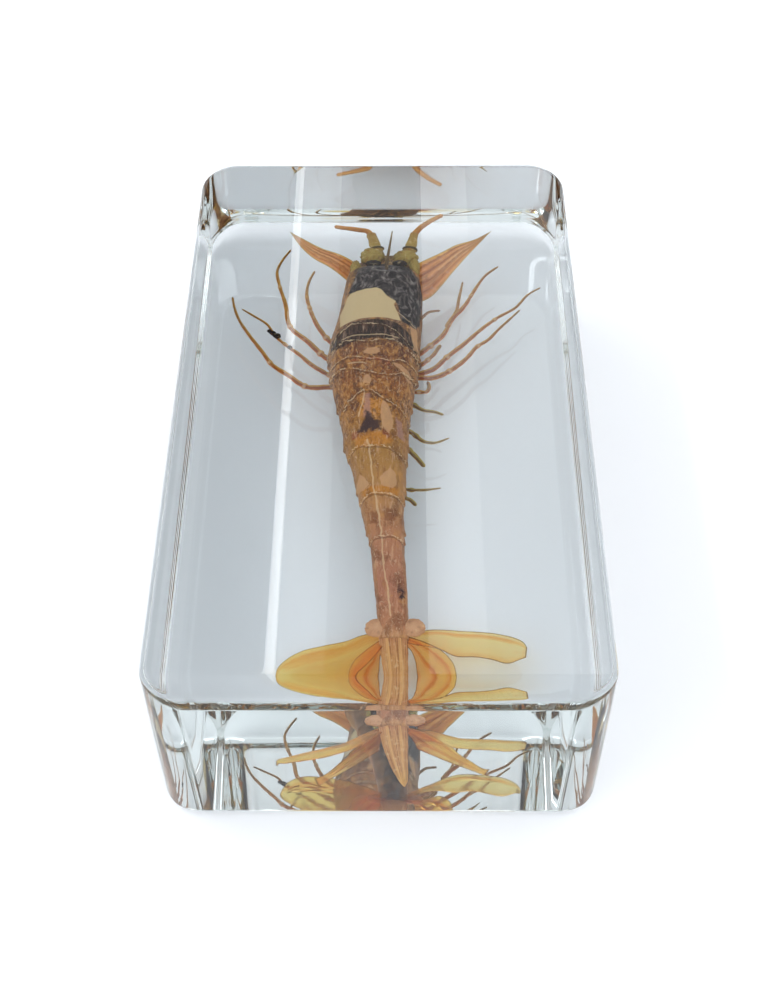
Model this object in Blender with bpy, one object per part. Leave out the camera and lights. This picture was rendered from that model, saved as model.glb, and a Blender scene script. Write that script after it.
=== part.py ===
"""A whole dried shrimp cast in a clear resin block.

Metres, +Z up. The origin is the middle of the face that the block rests on.
The shrimp lies along Y with its head towards +Y and its back towards +Z.
The lists of points and stations are in millimetres and are scaled as they are read.
"""
import math

import bmesh
import bpy
import numpy as np
from mathutils import Vector

MM = 0.001
OBJECT_NAME = "shrimp_in_resin_block"

# Resin block
BLOCK_WIDTH = 62.5 * MM
BLOCK_LENGTH = 110 * MM
BLOCK_HEIGHT = 30 * MM
CORNER_RADIUS = 6.2 * MM
CORNER_SEGMENTS = 8
EDGE_RADIUS = 1.4 * MM
EDGE_SEGMENTS = 3
# The tail end's top edge and the head end's bottom edge are worn into a soft slope
TOP_SLOPE_REACH = 9 * MM
TOP_SLOPE_DEPTH = 2.2 * MM
BOTTOM_SLOPE_REACH = 10.7 * MM
BOTTOM_SLOPE_DEPTH = 1.9 * MM
SLOPE_STEPS = 6
# The two halves meet at half the shrimp's height
PARTING_HEIGHT = 13 * MM
GAP = 0.3 * MM
# The pocket's skin lies this far outside the shrimp's
POCKET_CLEARANCE = 0.36 * MM

# Shrimp: a ring of this many points round the body, a blade and a limb
BODY_SIDES = 16
BLADE_SIDES = 8
LIMB_RESOLUTION = 1
MERGE_DISTANCE = 0.005 * MM

# Body rings from the head to the end of the sixth segment:
# along, left side, right side, belly, widest height, back
BODY_STATIONS = [
    (40.6, -2.4, 4.4, 11.4, 13.8, 16.6),
    (39.4, -4.2, 5.9, 10.4, 13.7, 17.6),
    (37.4, -5.2, 6.3, 9.6, 13.6, 18.6),
    (34.0, -6.0, 6.5, 8.6, 13.5, 19.9),
    (30.0, -6.6, 6.7, 7.9, 13.5, 20.9),
    (24.0, -7.4, 6.7, 7.4, 13.4, 21.6),
    (18.5, -8.5, 6.3, 7.2, 13.3, 21.7),
    (13.9, -8.5, 6.0, 7.2, 13.1, 21.3),
    (9.9, -8.0, 5.5, 7.2, 12.9, 20.7),
    (4.5, -6.8, 4.7, 7.2, 12.5, 19.6),
    (0.0, -6.0, 4.3, 7.2, 12.1, 18.7),
    (-3.1, -5.6, 4.2, 7.2, 11.8, 17.9),
    (-7.0, -4.4, 3.9, 7.2, 11.4, 16.8),
    (-11.3, -3.5, 3.7, 7.2, 11.0, 15.4),
    (-15.1, -2.8, 3.5, 7.2, 10.7, 14.3),
    (-18.6, -1.9, 3.5, 7.2, 10.4, 13.5),
    (-23.7, -1.2, 3.7, 7.1, 10.1, 12.8),
    (-29.5, -0.7, 4.0, 7.0, 9.8, 12.1),
    (-34.5, -0.3, 4.2, 7.0, 9.5, 11.3),
    (-36.4, -0.1, 4.2, 7.2, 9.3, 10.9),
]
# Rear rims of the carapace and of the first five segments, which overlap what follows
SEGMENT_RIMS = [13.9, 9.9, 4.5, -3.1, -11.3, -18.6]
RIM_HEIGHT = 0.35
RIM_SLOPE = 0.5

# Blades: x, y, z of the middle, half width, lean of the far edge
TELSON = [(2.2, -34.0, 10.0, 2.0, 0), (2.3, -38.0, 9.4, 1.9, 0), (2.6, -43.0, 8.5, 1.5, 0),
          (2.9, -48.0, 7.3, 0.9, 0), (3.1, -51.2, 6.5, 0.25, 0)]
LEFT_OUTER_FIN = [(0.4, -35.6, 9.9, 0.9, -0.2), (-2.6, -37.6, 9.3, 1.6, -0.2),
                  (-7.0, -39.0, 7.9, 2.8, -0.2), (-11.0, -39.5, 6.7, 2.7, -0.2),
                  (-13.8, -39.8, 6.0, 2.0, -0.2), (-15.2, -39.9, 5.7, 0.6, -0.2)]
RIGHT_OUTER_FIN = [(4.0, -35.6, 9.9, 0.9, -0.3), (7.0, -36.8, 9.2, 1.6, -0.3),
                   (10.5, -37.2, 8.9, 2.1, -0.3), (14.5, -37.6, 8.6, 2.2, -0.3),
                   (18.0, -38.1, 8.3, 1.9, -0.3), (20.9, -38.3, 8.0, 0.5, -0.3)]
LEFT_INNER_FIN = [(0.6, -35.8, 9.9, 0.8, 0.3), (-1.2, -40.0, 9.4, 1.2, 0.3),
                  (-3.6, -43.6, 8.8, 1.6, 0.3), (-5.8, -46.8, 8.0, 1.6, 0.3),
                  (-8.4, -49.8, 7.0, 0.5, 0.3)]
RIGHT_INNER_FIN = [(3.9, -35.8, 10.1, 0.8, 0.2), (6.2, -39.4, 10.2, 1.3, 0.2),
                   (8.9, -43.0, 10.0, 1.7, 0.2), (11.6, -46.2, 9.7, 1.7, 0.2),
                   (14.2, -49.3, 9.4, 0.5, 0.2)]
LEFT_ANTENNAL_SCALE = [(-2.6, 35.6, 14.2, 1.1, 0), (-6.6, 38.6, 13.9, 1.6, 0),
                       (-10.6, 42.2, 13.3, 1.7, 0), (-14.0, 45.2, 12.8, 1.3, 0),
                       (-16.4, 47.2, 12.3, 0.4, 0)]
RIGHT_ANTENNAL_SCALE = [(4.6, 34.6, 14.2, 1.1, 0), (8.6, 37.2, 14.0, 1.6, 0),
                        (12.6, 40.8, 13.6, 1.7, 0), (16.0, 44.0, 13.3, 1.3, 0),
                        (18.6, 46.4, 13.0, 0.4, 0)]
BLADE_THICKNESS = 0.35
ROSTRUM = [(1.1, 33.0, 19.0, 0.9, 0), (1.2, 37.0, 18.3, 0.6, 0),
           (1.4, 41.5, 17.2, 0.45, 0), (1.5, 45.6, 16.0, 0.2, 0)]
ROSTRUM_THICKNESS = 0.8

# Eyes: x, y, z of the middle
EYES = [(-1.5, 38.4, 15.6), (3.6, 38.4, 15.6)]
EYE_RADIUS = 1.3

# Limbs: x, y, z along the middle, then the radius at the base and at the tip
LIMBS = {
    "antenna_left": ([(-1.0, 37.0, 14.0), (-1.8, 42.0, 13.6), (-3.0, 47.3, 13.0),
                      (-5.4, 48.2, 13.0), (-8.1, 48.1, 13.0)], 1.15, 0.35),
    "antenna_right": ([(3.4, 37.0, 14.2), (4.9, 42.0, 13.8), (6.0, 46.6, 13.5),
                       (8.8, 49.6, 12.8), (11.2, 50.0, 15.6)], 1.15, 0.35),
    "mouth_limb": ([(4.0, 25.0, 10.0), (6.7, 27.2, 9.2), (7.8, 29.1, 9.0),
                    (9.8, 29.3, 9.0)], 0.6, 0.4),
    "leg_left_1": ([(-4.0, 20.5, 9.6), (-8.5, 22.3, 9.0), (-10.6, 25.6, 9.0),
                    (-12.5, 29.6, 9.0), (-13.0, 35.4, 9.0), (-11.9, 39.1, 9.0)], 0.65, 0.35),
    "leg_left_2": ([(-4.5, 16.0, 9.4), (-9.1, 18.7, 9.0), (-15.2, 25.1, 9.0), (-17.2, 32.0, 9.0),
                    (-18.3, 40.4, 9.0), (-16.4, 44.7, 9.0)], 0.65, 0.35),
    "leg_left_3": ([(-4.5, 13.5, 9.2), (-8.8, 15.1, 9.0), (-11.7, 17.3, 9.0), (-18.0, 23.7, 9.0),
                    (-23.9, 29.8, 9.0)], 0.5, 0.3),
    "leg_left_4": ([(-4.0, 11.2, 9.2), (-8.4, 11.6, 9.0), (-11.8, 11.6, 9.0), (-14.6, 12.9, 9.0),
                    (-17.9, 16.2, 9.0), (-21.6, 22.3, 9.0), (-25.8, 32.5, 9.0)], 0.65, 0.3),
    "leg_right_1": ([(3.0, 16.5, 9.6), (6.1, 18.0, 9.0), (8.5, 20.5, 9.0), (11.4, 25.1, 9.0),
                     (13.1, 29.6, 9.0), (13.8, 36.1, 9.0)], 0.65, 0.35),
    "leg_right_1_claw": ([(12.6, 28.4, 9.0), (14.9, 33.2, 9.0), (17.1, 37.4, 9.0),
                          (20.2, 40.1, 9.0)], 0.5, 0.3),
    "leg_right_2": ([(3.0, 15.0, 9.4), (6.1, 16.6, 9.0), (10.0, 21.6, 9.0)], 0.55, 0.3),
    "leg_right_3": ([(2.8, 12.8, 9.2), (5.8, 14.0, 9.0), (8.4, 16.2, 9.0), (12.5, 20.0, 9.0),
                     (17.5, 26.2, 9.0), (21.7, 29.5, 9.0), (27.0, 35.1, 9.0)], 0.6, 0.3),
    "leg_right_4": ([(2.8, 12.2, 8.9), (5.8, 13.0, 8.6), (9.9, 14.2, 8.8), (13.6, 17.3, 9.0),
                     (17.4, 21.8, 9.0), (20.4, 26.2, 9.0), (23.4, 29.5, 9.0)], 0.6, 0.3),
    "leg_right_5": ([(2.6, 10.0, 9.0), (5.6, 10.6, 8.8), (7.8, 11.2, 8.8), (7.9, 12.6, 8.8)],
                    0.5, 0.35),
    "swimmeret_right_1": ([(2.2, 9.2, 8.6), (4.9, 8.5, 8.2), (7.0, 7.1, 8.0),
                           (10.0, 6.2, 7.8)], 0.75, 0.35),
    "swimmeret_right_2": ([(2.2, 3.4, 8.4), (4.6, 2.6, 8.0), (7.0, 0.4, 7.6),
                           (10.6, 1.2, 7.4)], 0.75, 0.35),
    "swimmeret_right_3": ([(2.2, 0.0, 8.4), (4.7, -1.5, 7.8), (6.5, -4.7, 7.4)], 0.75, 0.35),
    "swimmeret_right_4": ([(2.0, -8.0, 8.4), (4.4, -9.0, 8.0), (9.1, -9.2, 7.6)], 0.7, 0.3),
    "swimmeret_right_5": ([(1.8, -9.6, 8.2), (3.9, -10.8, 7.8), (5.2, -12.6, 7.4)], 0.65, 0.35),
    "swimmeret_left_1": ([(-3.5, 8.6, 8.6), (-4.6, 6.4, 7.0), (-4.8, 3.2, 5.8)], 0.8, 0.4),
    "swimmeret_left_2": ([(-3.2, 3.4, 8.4), (-4.0, 1.2, 6.8), (-4.2, -2.0, 5.8)], 0.8, 0.4),
    "swimmeret_left_3": ([(-2.6, -1.6, 8.4), (-3.2, -4.0, 6.8), (-3.3, -7.0, 5.8)], 0.75, 0.4),
    "swimmeret_left_4": ([(-1.4, -7.6, 8.4), (-1.9, -9.8, 6.8), (-1.9, -12.6, 6.0)], 0.7, 0.35),
}

# Colours, linear
SHRIMP_COLOUR = (0.36, 0.15, 0.05, 1)
RESIN_COLOUR = (0.93, 0.96, 1, 1)


def new_collection(name):
    collection = bpy.data.collections.new(name)
    bpy.context.scene.collection.children.link(collection)
    return collection


def new_object(name, mesh, collection):
    thing = bpy.data.objects.new(name, mesh)
    collection.objects.link(thing)
    return thing


def shrimp_material():
    material = bpy.data.materials.new("dried_shrimp")
    material.use_nodes = True
    shader = material.node_tree.nodes["Principled BSDF"]
    shader.inputs["Base Color"].default_value = SHRIMP_COLOUR
    shader.inputs["Roughness"].default_value = 0.55
    return material


def resin_material():
    material = bpy.data.materials.new("clear_resin")
    material.use_nodes = True
    shader = material.node_tree.nodes["Principled BSDF"]
    shader.inputs["Base Color"].default_value = RESIN_COLOUR
    shader.inputs["Roughness"].default_value = 0.03
    shader.inputs["Transmission Weight"].default_value = 1
    shader.inputs["IOR"].default_value = 1.5
    return material


def elliptic_skin(name, stations, sides, collection):
    """Closed skin over elliptic rings, given as middle, across, up and down vectors in mm."""
    middle, across, up, down = np.array(stations, dtype=float).transpose(1, 0, 2)[:, :, None, :]
    turn = np.arange(sides) * 2 * math.pi / sides
    cosine = np.cos(turn)[None, :, None]
    sine = np.sin(turn)[None, :, None]
    height = np.where(sine > 0, sine * up, -sine * down)
    rings = (middle + cosine * across + height) * MM
    count = len(stations)
    faces = []
    for ring in range(count - 1):
        for side in range(sides):
            here = ring * sides + side
            beside = ring * sides + (side + 1) % sides
            faces.append((here, here + sides, beside + sides, beside))
    faces.append(tuple(range(sides)))
    faces.append(tuple(reversed(range((count - 1) * sides, count * sides))))
    mesh = bpy.data.meshes.new(name)
    mesh.from_pydata(rings.reshape(-1, 3).tolist(), [], faces)
    edit = bmesh.new()
    edit.from_mesh(mesh)
    bmesh.ops.recalc_face_normals(edit, faces=edit.faces)
    edit.to_mesh(mesh)
    edit.free()
    return new_object(name, mesh, collection)


def body_rings(grow):
    """Body stations with a raised rim at each segment's rear edge, grown outwards by grow mm."""
    table = np.array(BODY_STATIONS)
    rows = []
    for along in table[:, 0]:
        rim = along in SEGMENT_RIMS
        rows.append((along, RIM_HEIGHT if rim else 0))
        if rim:
            rows.append((along - RIM_SLOPE, 0))
    rings = []
    for index, (along, lift) in enumerate(rows):
        # np.interp wants rising positions, so the table is read from the tail
        left, right, belly, widest, back = (np.interp(along, table[::-1, 0], table[::-1, column])
                                            for column in range(1, 6))
        out = lift + grow
        end = {0: grow, len(rows) - 1: -grow}.get(index, 0)
        rings.append((((left + right) / 2, along + end, widest),
                      ((right - left) / 2 + out, 0, 0),
                      (0, 0, back - widest + out),
                      (0, 0, widest - belly + grow) if lift == 0 else (0, 0, widest - belly + out)))
    # Vectors down are given as positive heights, so they are turned over here
    return [(middle, across, up, (0, 0, -down[2])) for middle, across, up, down in rings]


def blade_rings(points, thickness, grow):
    """Thin elliptic rings across a blade's length, with the blade leaning about its length."""
    table = np.array(points, dtype=float)
    middle = table[:, :3]
    run = np.gradient(middle, axis=0)
    run /= np.linalg.norm(run, axis=1)[:, None]
    rings = []
    for index, (centre, ahead, (half_width, lean)) in enumerate(zip(middle, run, table[:, 3:])):
        across = np.cross(ahead, (0, 0, 1))
        across /= np.linalg.norm(across)
        # Every blade leans by its forward or inward edge, whichever side it is on
        side = 1 if across[1] > 0 or (abs(ahead[1]) > 0.7 and across[0] * ahead[0] < 0) else -1
        across = across + np.array((0, 0, side * lean))
        across /= np.linalg.norm(across)
        upward = np.cross(across, ahead)
        upward *= math.copysign(1, upward[2])
        taper = 0.5 if index in (0, len(points) - 1) else 1
        lift = upward * (thickness / 2 * taper + grow)
        end = {0: -grow, len(points) - 1: grow}.get(index, 0)
        rings.append((centre + ahead * end, across * (half_width + grow), lift, -lift))
    return rings


def smooth_through(points, steps=2):
    """Points on a Catmull-Rom curve through the given ones, steps to each span."""
    table = np.array(points, dtype=float)
    padded = np.vstack((2 * table[0] - table[1], table, 2 * table[-1] - table[-2]))
    path = []
    for span in range(len(table) - 1):
        before, start, stop, after = padded[span:span + 4]
        for step in range(steps):
            t = step / steps
            path.append(0.5 * (2 * start + (stop - before) * t
                               + (2 * before - 5 * start + 4 * stop - after) * t ** 2
                               + (3 * start - before - 3 * stop + after) * t ** 3))
    path.append(table[-1])
    return np.array(path)


def limb(name, points, base_radius, tip_radius, grow, collection):
    """Tapered round limb: a poly curve with a radius at each point, made a closed mesh."""
    path = smooth_through(points)
    run = np.diff(path, axis=0)
    run /= np.linalg.norm(run, axis=1)[:, None]
    path[0] -= run[0] * grow
    path[-1] += run[-1] * grow
    radii = np.linspace(base_radius, tip_radius, len(path)) + grow
    curve = bpy.data.curves.new(name, "CURVE")
    curve.dimensions = "3D"
    curve.bevel_depth = MM
    curve.bevel_resolution = LIMB_RESOLUTION
    curve.use_fill_caps = True
    spline = curve.splines.new("POLY")
    spline.points.add(len(path) - 1)
    for point, place, radius in zip(spline.points, path, radii):
        point.co = (*(place * MM), 1)
        point.radius = radius
    guide = new_object(name + "_guide", curve, collection)
    shaped = guide.evaluated_get(bpy.context.evaluated_depsgraph_get())
    mesh = bpy.data.meshes.new_from_object(shaped)
    edit = bmesh.new()
    edit.from_mesh(mesh)
    bmesh.ops.remove_doubles(edit, verts=edit.verts, dist=MERGE_DISTANCE)
    bmesh.ops.recalc_face_normals(edit, faces=edit.faces)
    edit.to_mesh(mesh)
    edit.free()
    thing = new_object(name, mesh, collection)
    thing.matrix_world = guide.matrix_world
    bpy.data.objects.remove(guide)
    return thing


def eye(place, grow, collection):
    bpy.ops.mesh.primitive_ico_sphere_add(subdivisions=2, radius=EYE_RADIUS * MM + grow * MM)
    thing = bpy.context.object
    thing.location = Vector(place) * MM
    for owner in thing.users_collection:
        owner.objects.unlink(thing)
    collection.objects.link(thing)
    return thing


def specimen(name, grow, bag, collection):
    """The whole shrimp as one solid, its skin moved outwards by grow mm."""
    blades = [("telson", TELSON, BLADE_THICKNESS * 2),
              ("left_outer_fin", LEFT_OUTER_FIN, BLADE_THICKNESS),
              ("right_outer_fin", RIGHT_OUTER_FIN, BLADE_THICKNESS),
              ("left_inner_fin", LEFT_INNER_FIN, BLADE_THICKNESS),
              ("right_inner_fin", RIGHT_INNER_FIN, BLADE_THICKNESS),
              ("left_scale", LEFT_ANTENNAL_SCALE, BLADE_THICKNESS),
              ("right_scale", RIGHT_ANTENNAL_SCALE, BLADE_THICKNESS),
              ("rostrum", ROSTRUM, ROSTRUM_THICKNESS)]
    for blade, points, thickness in blades:
        elliptic_skin(f"{name}_{blade}", blade_rings(points, thickness, grow), BLADE_SIDES, bag)
    for place in EYES:
        eye(place, grow, bag)
    for title, (points, base_radius, tip_radius) in LIMBS.items():
        limb(f"{name}_{title}", points, base_radius, tip_radius, grow, bag)
    body = elliptic_skin(name + "_body", body_rings(grow), BODY_SIDES, collection)
    join = body.modifiers.new("fuse_limbs", "BOOLEAN")
    join.operation = "UNION"
    join.solver = "EXACT"
    join.operand_type = "COLLECTION"
    join.collection = bag
    shaped = body.evaluated_get(bpy.context.evaluated_depsgraph_get())
    mesh = bpy.data.meshes.new_from_object(shaped)
    bpy.data.objects.remove(body)
    for piece in list(bag.objects):
        bpy.data.objects.remove(piece)
    mesh.name = name
    return new_object(name, mesh, collection)


def slope(distance, reach, depth):
    """How far a worn edge has sunk, growing with the cube of the way in from its start."""
    inside = max(0, 1 - distance / reach)
    return depth * inside ** 3


def block_solid():
    """Cube with round corners and edges, then the two worn edges pressed into it."""
    solid = bmesh.new()
    bmesh.ops.create_cube(solid, size=1)
    for vert in solid.verts:
        vert.co.x *= BLOCK_WIDTH
        vert.co.y *= BLOCK_LENGTH
        vert.co.z = (vert.co.z + 0.5) * BLOCK_HEIGHT
    upright = [edge for edge in solid.edges
               if abs(edge.verts[0].co.z - edge.verts[1].co.z) > BLOCK_HEIGHT / 2]
    bmesh.ops.bevel(solid, geom=upright, offset=CORNER_RADIUS, segments=CORNER_SEGMENTS,
                    profile=0.5, affect="EDGES")
    rims = [edge for edge in solid.edges
            if abs(edge.verts[0].co.z - edge.verts[1].co.z) < MERGE_DISTANCE]
    bmesh.ops.bevel(solid, geom=rims, offset=EDGE_RADIUS, segments=EDGE_SEGMENTS,
                    profile=0.5, affect="EDGES")
    for step in range(SLOPE_STEPS):
        share = step / SLOPE_STEPS
        cuts = (-BLOCK_LENGTH / 2 + TOP_SLOPE_REACH * (1 - share),
                BLOCK_LENGTH / 2 - BOTTOM_SLOPE_REACH * (1 - share))
        for along in cuts:
            bmesh.ops.bisect_plane(solid, geom=solid.verts[:] + solid.edges[:] + solid.faces[:],
                                   plane_co=(0, along, 0), plane_no=(0, 1, 0))
    for vert in solid.verts:
        part = vert.co.z / BLOCK_HEIGHT
        sunk = slope(vert.co.y + BLOCK_LENGTH / 2, TOP_SLOPE_REACH, TOP_SLOPE_DEPTH)
        raised = slope(BLOCK_LENGTH / 2 - vert.co.y, BOTTOM_SLOPE_REACH, BOTTOM_SLOPE_DEPTH)
        vert.co.z += raised * (1 - part) - sunk * part
    bmesh.ops.triangulate(solid, faces=solid.faces)
    return solid


def resin_half(name, upper, pocket, collection):
    """One half of the block, cut flat at the parting and hollowed by the pocket."""
    solid = block_solid()
    height = PARTING_HEIGHT + (GAP / 2 if upper else -GAP / 2)
    cut = bmesh.ops.bisect_plane(solid, geom=solid.verts[:] + solid.edges[:] + solid.faces[:],
                                 plane_co=(0, 0, height), plane_no=(0, 0, 1),
                                 clear_inner=upper, clear_outer=not upper)
    rim = [item for item in cut["geom_cut"] if isinstance(item, bmesh.types.BMEdge)]
    bmesh.ops.edgeloop_fill(solid, edges=rim)
    bmesh.ops.recalc_face_normals(solid, faces=solid.faces)
    mesh = bpy.data.meshes.new(name)
    solid.to_mesh(mesh)
    solid.free()
    half = new_object(name, mesh, collection)
    hollow = half.modifiers.new("pocket", "BOOLEAN")
    hollow.operation = "DIFFERENCE"
    hollow.solver = "EXACT"
    hollow.object = pocket
    return half


for leftover in list(bpy.data.objects):
    bpy.data.objects.remove(leftover)
parts = new_collection(OBJECT_NAME)
cutters = new_collection("cutters")
limb_bag = new_collection("limbs")

shrimp = specimen("shrimp", 0, limb_bag, parts)
shrimp.data.materials.clear()
shrimp.data.materials.append(shrimp_material())
shrimp.data.shade_smooth()
shrimp.data.set_sharp_from_angle(angle=math.radians(40))

pocket_cutter = specimen("pocket", POCKET_CLEARANCE / MM, limb_bag, cutters)
pocket_cutter.hide_render = True
pocket_cutter.display_type = "WIRE"
bpy.data.collections.remove(limb_bag)

clear_resin = resin_material()
for half_name, is_upper in (("resin_upper", True), ("resin_lower", False)):
    half_block = resin_half(half_name, is_upper, pocket_cutter, parts)
    half_block.data.materials.append(clear_resin)
    half_block.data.shade_smooth()
    half_block.data.set_sharp_from_angle(angle=math.radians(30))
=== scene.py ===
"""A whole dried shrimp cast in a clear resin block, seen from above its tail end.

Metres, +Z up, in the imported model's frame: +Y towards the head, the block resting at z = 0.
Places and sizes below are in millimetres and are scaled as each mesh is made.
"""
import math

import bmesh
import bpy
import numpy as np
from mathutils import Matrix, Vector


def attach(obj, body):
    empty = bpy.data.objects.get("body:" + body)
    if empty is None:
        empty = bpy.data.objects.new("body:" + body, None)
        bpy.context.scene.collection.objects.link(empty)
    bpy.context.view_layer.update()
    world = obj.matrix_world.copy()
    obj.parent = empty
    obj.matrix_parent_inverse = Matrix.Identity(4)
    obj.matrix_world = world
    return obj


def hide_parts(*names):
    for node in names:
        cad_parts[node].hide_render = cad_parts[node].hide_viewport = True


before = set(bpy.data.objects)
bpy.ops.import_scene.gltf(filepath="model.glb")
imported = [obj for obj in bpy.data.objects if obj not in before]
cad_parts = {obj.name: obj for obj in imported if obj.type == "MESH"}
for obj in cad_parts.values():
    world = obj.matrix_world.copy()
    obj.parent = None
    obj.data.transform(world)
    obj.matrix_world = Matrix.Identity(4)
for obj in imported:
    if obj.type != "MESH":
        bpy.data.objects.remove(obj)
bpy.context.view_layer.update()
MM = 0.001
scene = bpy.context.scene

# Camera: a phone held over the tail end of the block, looking down its length at about 39
# degrees off the vertical and turned a hair out of level. The frame is 770 by 986 pixels.
CAMERA_PLACE = (2.07, -149.02, 188.90)
CAMERA_AIM = (0.61, -7.34, 15.0)
CAMERA_ROLL = -0.46
CAMERA_LENS = 52.46
SENSOR_WIDTH = 36
NEAREST_SEEN = 0.01
# Light turns back many times between the block's polished faces, so its paths may be long
LIGHT_TURNS = 64

eye_line = Vector(CAMERA_AIM) - Vector(CAMERA_PLACE)
camera_data = bpy.data.cameras.new("camera")
camera_data.lens = CAMERA_LENS
camera_data.sensor_width = SENSOR_WIDTH
camera_data.clip_start = NEAREST_SEEN
camera = bpy.data.objects.new("camera", camera_data)
scene.collection.objects.link(camera)
camera.matrix_world = (Matrix.Translation(Vector(CAMERA_PLACE) * MM)
                       @ eye_line.to_track_quat("-Z", "Y").to_matrix().to_4x4()
                       @ Matrix.Rotation(math.radians(CAMERA_ROLL), 4, "Z"))
scene.camera = camera
scene.view_settings.view_transform = "Standard"
scene.cycles.max_bounces = LIGHT_TURNS
scene.cycles.transmission_bounces = LIGHT_TURNS
scene.cycles.glossy_bounces = LIGHT_TURNS
scene.cycles.transparent_max_bounces = 16

# Floor and light: a white table in a bright white room. Long softboxes hang along both sides of
# the block, the left one stronger. The wall behind the head end is dim, and a narrow slit and
# four wide panels before it mirror in the block's top face as a white streak and soft bands.
FLOOR_SIZE = 3000
FLOOR_DROP = 0.1
FLOOR_WHITE = "#F6F7F8"
ROOM_WHITE = "#F7FAFF"
ROOM_STRENGTH = 1.1
# Which way the dim wall lies, and the cosines from it at which it starts and is dimmest
DIM_WALL_TOWARDS = (0.0, 0.69, 0.72)
DIM_WALL_EDGES = (0.93, 0.985)
DIM_WALL_SHARE = 0.1
# Name: middle in mm, aim in mm, width and length in mm, watts, colour
SOFT_LIGHTS = {
    "left_softbox": ((-554, 0, 724), (0, 0, 15), (1400, 120), 3.8, "#F7FBFF"),
    "right_softbox": ((600, 0, 640), (0, 0, 15), (1400, 160), 1.9, "#F7FBFF"),
    "slit": ((-268, 2350, 2500), (-268, 2350, 0), (22, 2000), 0.5, "#FFFFFF"),
    "left_panel": ((-209, 2350, 2510), (-209, 2350, 0), (120, 2000), 0.9, "#FFFFFF"),
    "body_panel": ((-36, 2350, 2510), (-36, 2350, 0), (226, 2000), 0.8, "#FFFFFF"),
    "middle_panel": ((142, 2350, 2510), (142, 2350, 0), (130, 2000), 1.72, "#FFFFFF"),
    "right_panel": ((337, 2350, 2510), (337, 2350, 0), (260, 2000), 2.6, "#FFFFFF"),
}


def linear(code):
    """A colour given as sRGB hex, as linear red, green, blue and alpha 1."""
    parts = np.array([int(code[start:start + 2], 16) for start in (1, 3, 5)]) / 255
    curve = np.where(parts > 0.04045, ((parts + 0.055) / 1.055) ** 2.4, parts / 12.92)
    return (*curve.tolist(), 1.0)


def add_node(tree, kind, settings=None, **inputs):
    """Adds one shader node: settings are its own properties, and inputs are values to set or
    sockets to link, by the input's name or, as in0, in1 and so on, by its number."""
    node = tree.nodes.new("ShaderNode" + kind)
    for name, value in (settings or {}).items():
        if name == "stops":
            knots = node.color_ramp.elements
            while len(knots) < len(value):
                knots.new(1.0)
            for knot, (position, code) in zip(knots, value):
                knot.position = position
                knot.color = linear(code)
        else:
            setattr(node, name, value)
    for name, value in inputs.items():
        numbered = name.startswith("in") and name[2:].isdigit()
        socket = node.inputs[int(name[2:]) if numbered else name.replace("_", " ")]
        if isinstance(value, bpy.types.NodeSocket):
            tree.links.new(value, socket)
        else:
            socket.default_value = value
    return node


def new_material(name):
    """An empty material and its node tree."""
    material = bpy.data.materials.new(name)
    material.use_nodes = True
    material.node_tree.nodes.clear()
    return material, material.node_tree


def mesh_piece(name, points, faces, material):
    """An object at the origin whose mesh has these points in mm and these faces."""
    mesh = bpy.data.meshes.new(name)
    mesh.from_pydata((np.asarray(points) * MM).tolist(), [], np.asarray(faces).tolist())
    mesh.materials.append(material)
    mesh.shade_smooth()
    piece = bpy.data.objects.new(name, mesh)
    scene.collection.objects.link(piece)
    return piece


# matt white card: an even bright ground with no gloss
card, tree = new_material("matt_white_card")
coat = add_node(tree, "BsdfPrincipled", Base_Color=linear(FLOOR_WHITE), Roughness=0.8)
add_node(tree, "OutputMaterial", Surface=coat.outputs[0])
corner = FLOOR_SIZE / 2
floor = mesh_piece("floor", [(-corner, -corner, -FLOOR_DROP), (corner, -corner, -FLOOR_DROP),
                             (corner, corner, -FLOOR_DROP), (-corner, corner, -FLOOR_DROP)],
                   [(0, 1, 2, 3)], card)

world = bpy.data.worlds.new("bright_room")
scene.world = world
world.use_nodes = True
tree = world.node_tree
tree.nodes.clear()
towards = add_node(tree, "TexCoord")
facing = add_node(tree, "VectorMath", {"operation": "DOT_PRODUCT"}, in0=towards.outputs["Generated"],
                  in1=DIM_WALL_TOWARDS)
strength = add_node(tree, "MapRange", {"interpolation_type": "SMOOTHSTEP"}, Value=facing.outputs["Value"],
                    From_Min=DIM_WALL_EDGES[0], From_Max=DIM_WALL_EDGES[1], To_Min=ROOM_STRENGTH,
                    To_Max=ROOM_STRENGTH * DIM_WALL_SHARE)
glow = add_node(tree, "Background", Color=linear(ROOM_WHITE), Strength=strength.outputs["Result"])
add_node(tree, "OutputWorld", Surface=glow.outputs[0])
for name, (place, aim, (width, height), watts, colour) in SOFT_LIGHTS.items():
    lamp = bpy.data.lights.new(name, "AREA")
    lamp.shape = "RECTANGLE"
    lamp.size = width * MM
    lamp.size_y = height * MM
    lamp.energy = watts
    lamp.color = linear(colour)[:3]
    holder = bpy.data.objects.new(name, lamp)
    scene.collection.objects.link(holder)
    holder.location = Vector(place) * MM
    holder.rotation_euler = (Vector(aim) - Vector(place)).to_track_quat("-Z", "Y").to_euler()

# Resin block: one casting of clear polyester resin, poured in a mould round the shrimp, ground
# and polished. Its corners are rounded in plan and its edges are eased. Polishing has worn the
# top edge at the tail end and the lower edges at both ends into soft slopes.
BLOCK_WIDTH = 62.5
BLOCK_LENGTH = 110.0
BLOCK_HEIGHT = 30.0
CORNER_RADIUS = 6.2
EDGE_RADIUS = 0.9
CORNER_STEPS = 24
EDGE_STEPS = 8
ACROSS_STEPS = 60
ALONG_STEP = 0.9
# Extra rows this far beyond each rounded edge keep the flat faces flat
SUPPORT = 0.2
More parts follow.
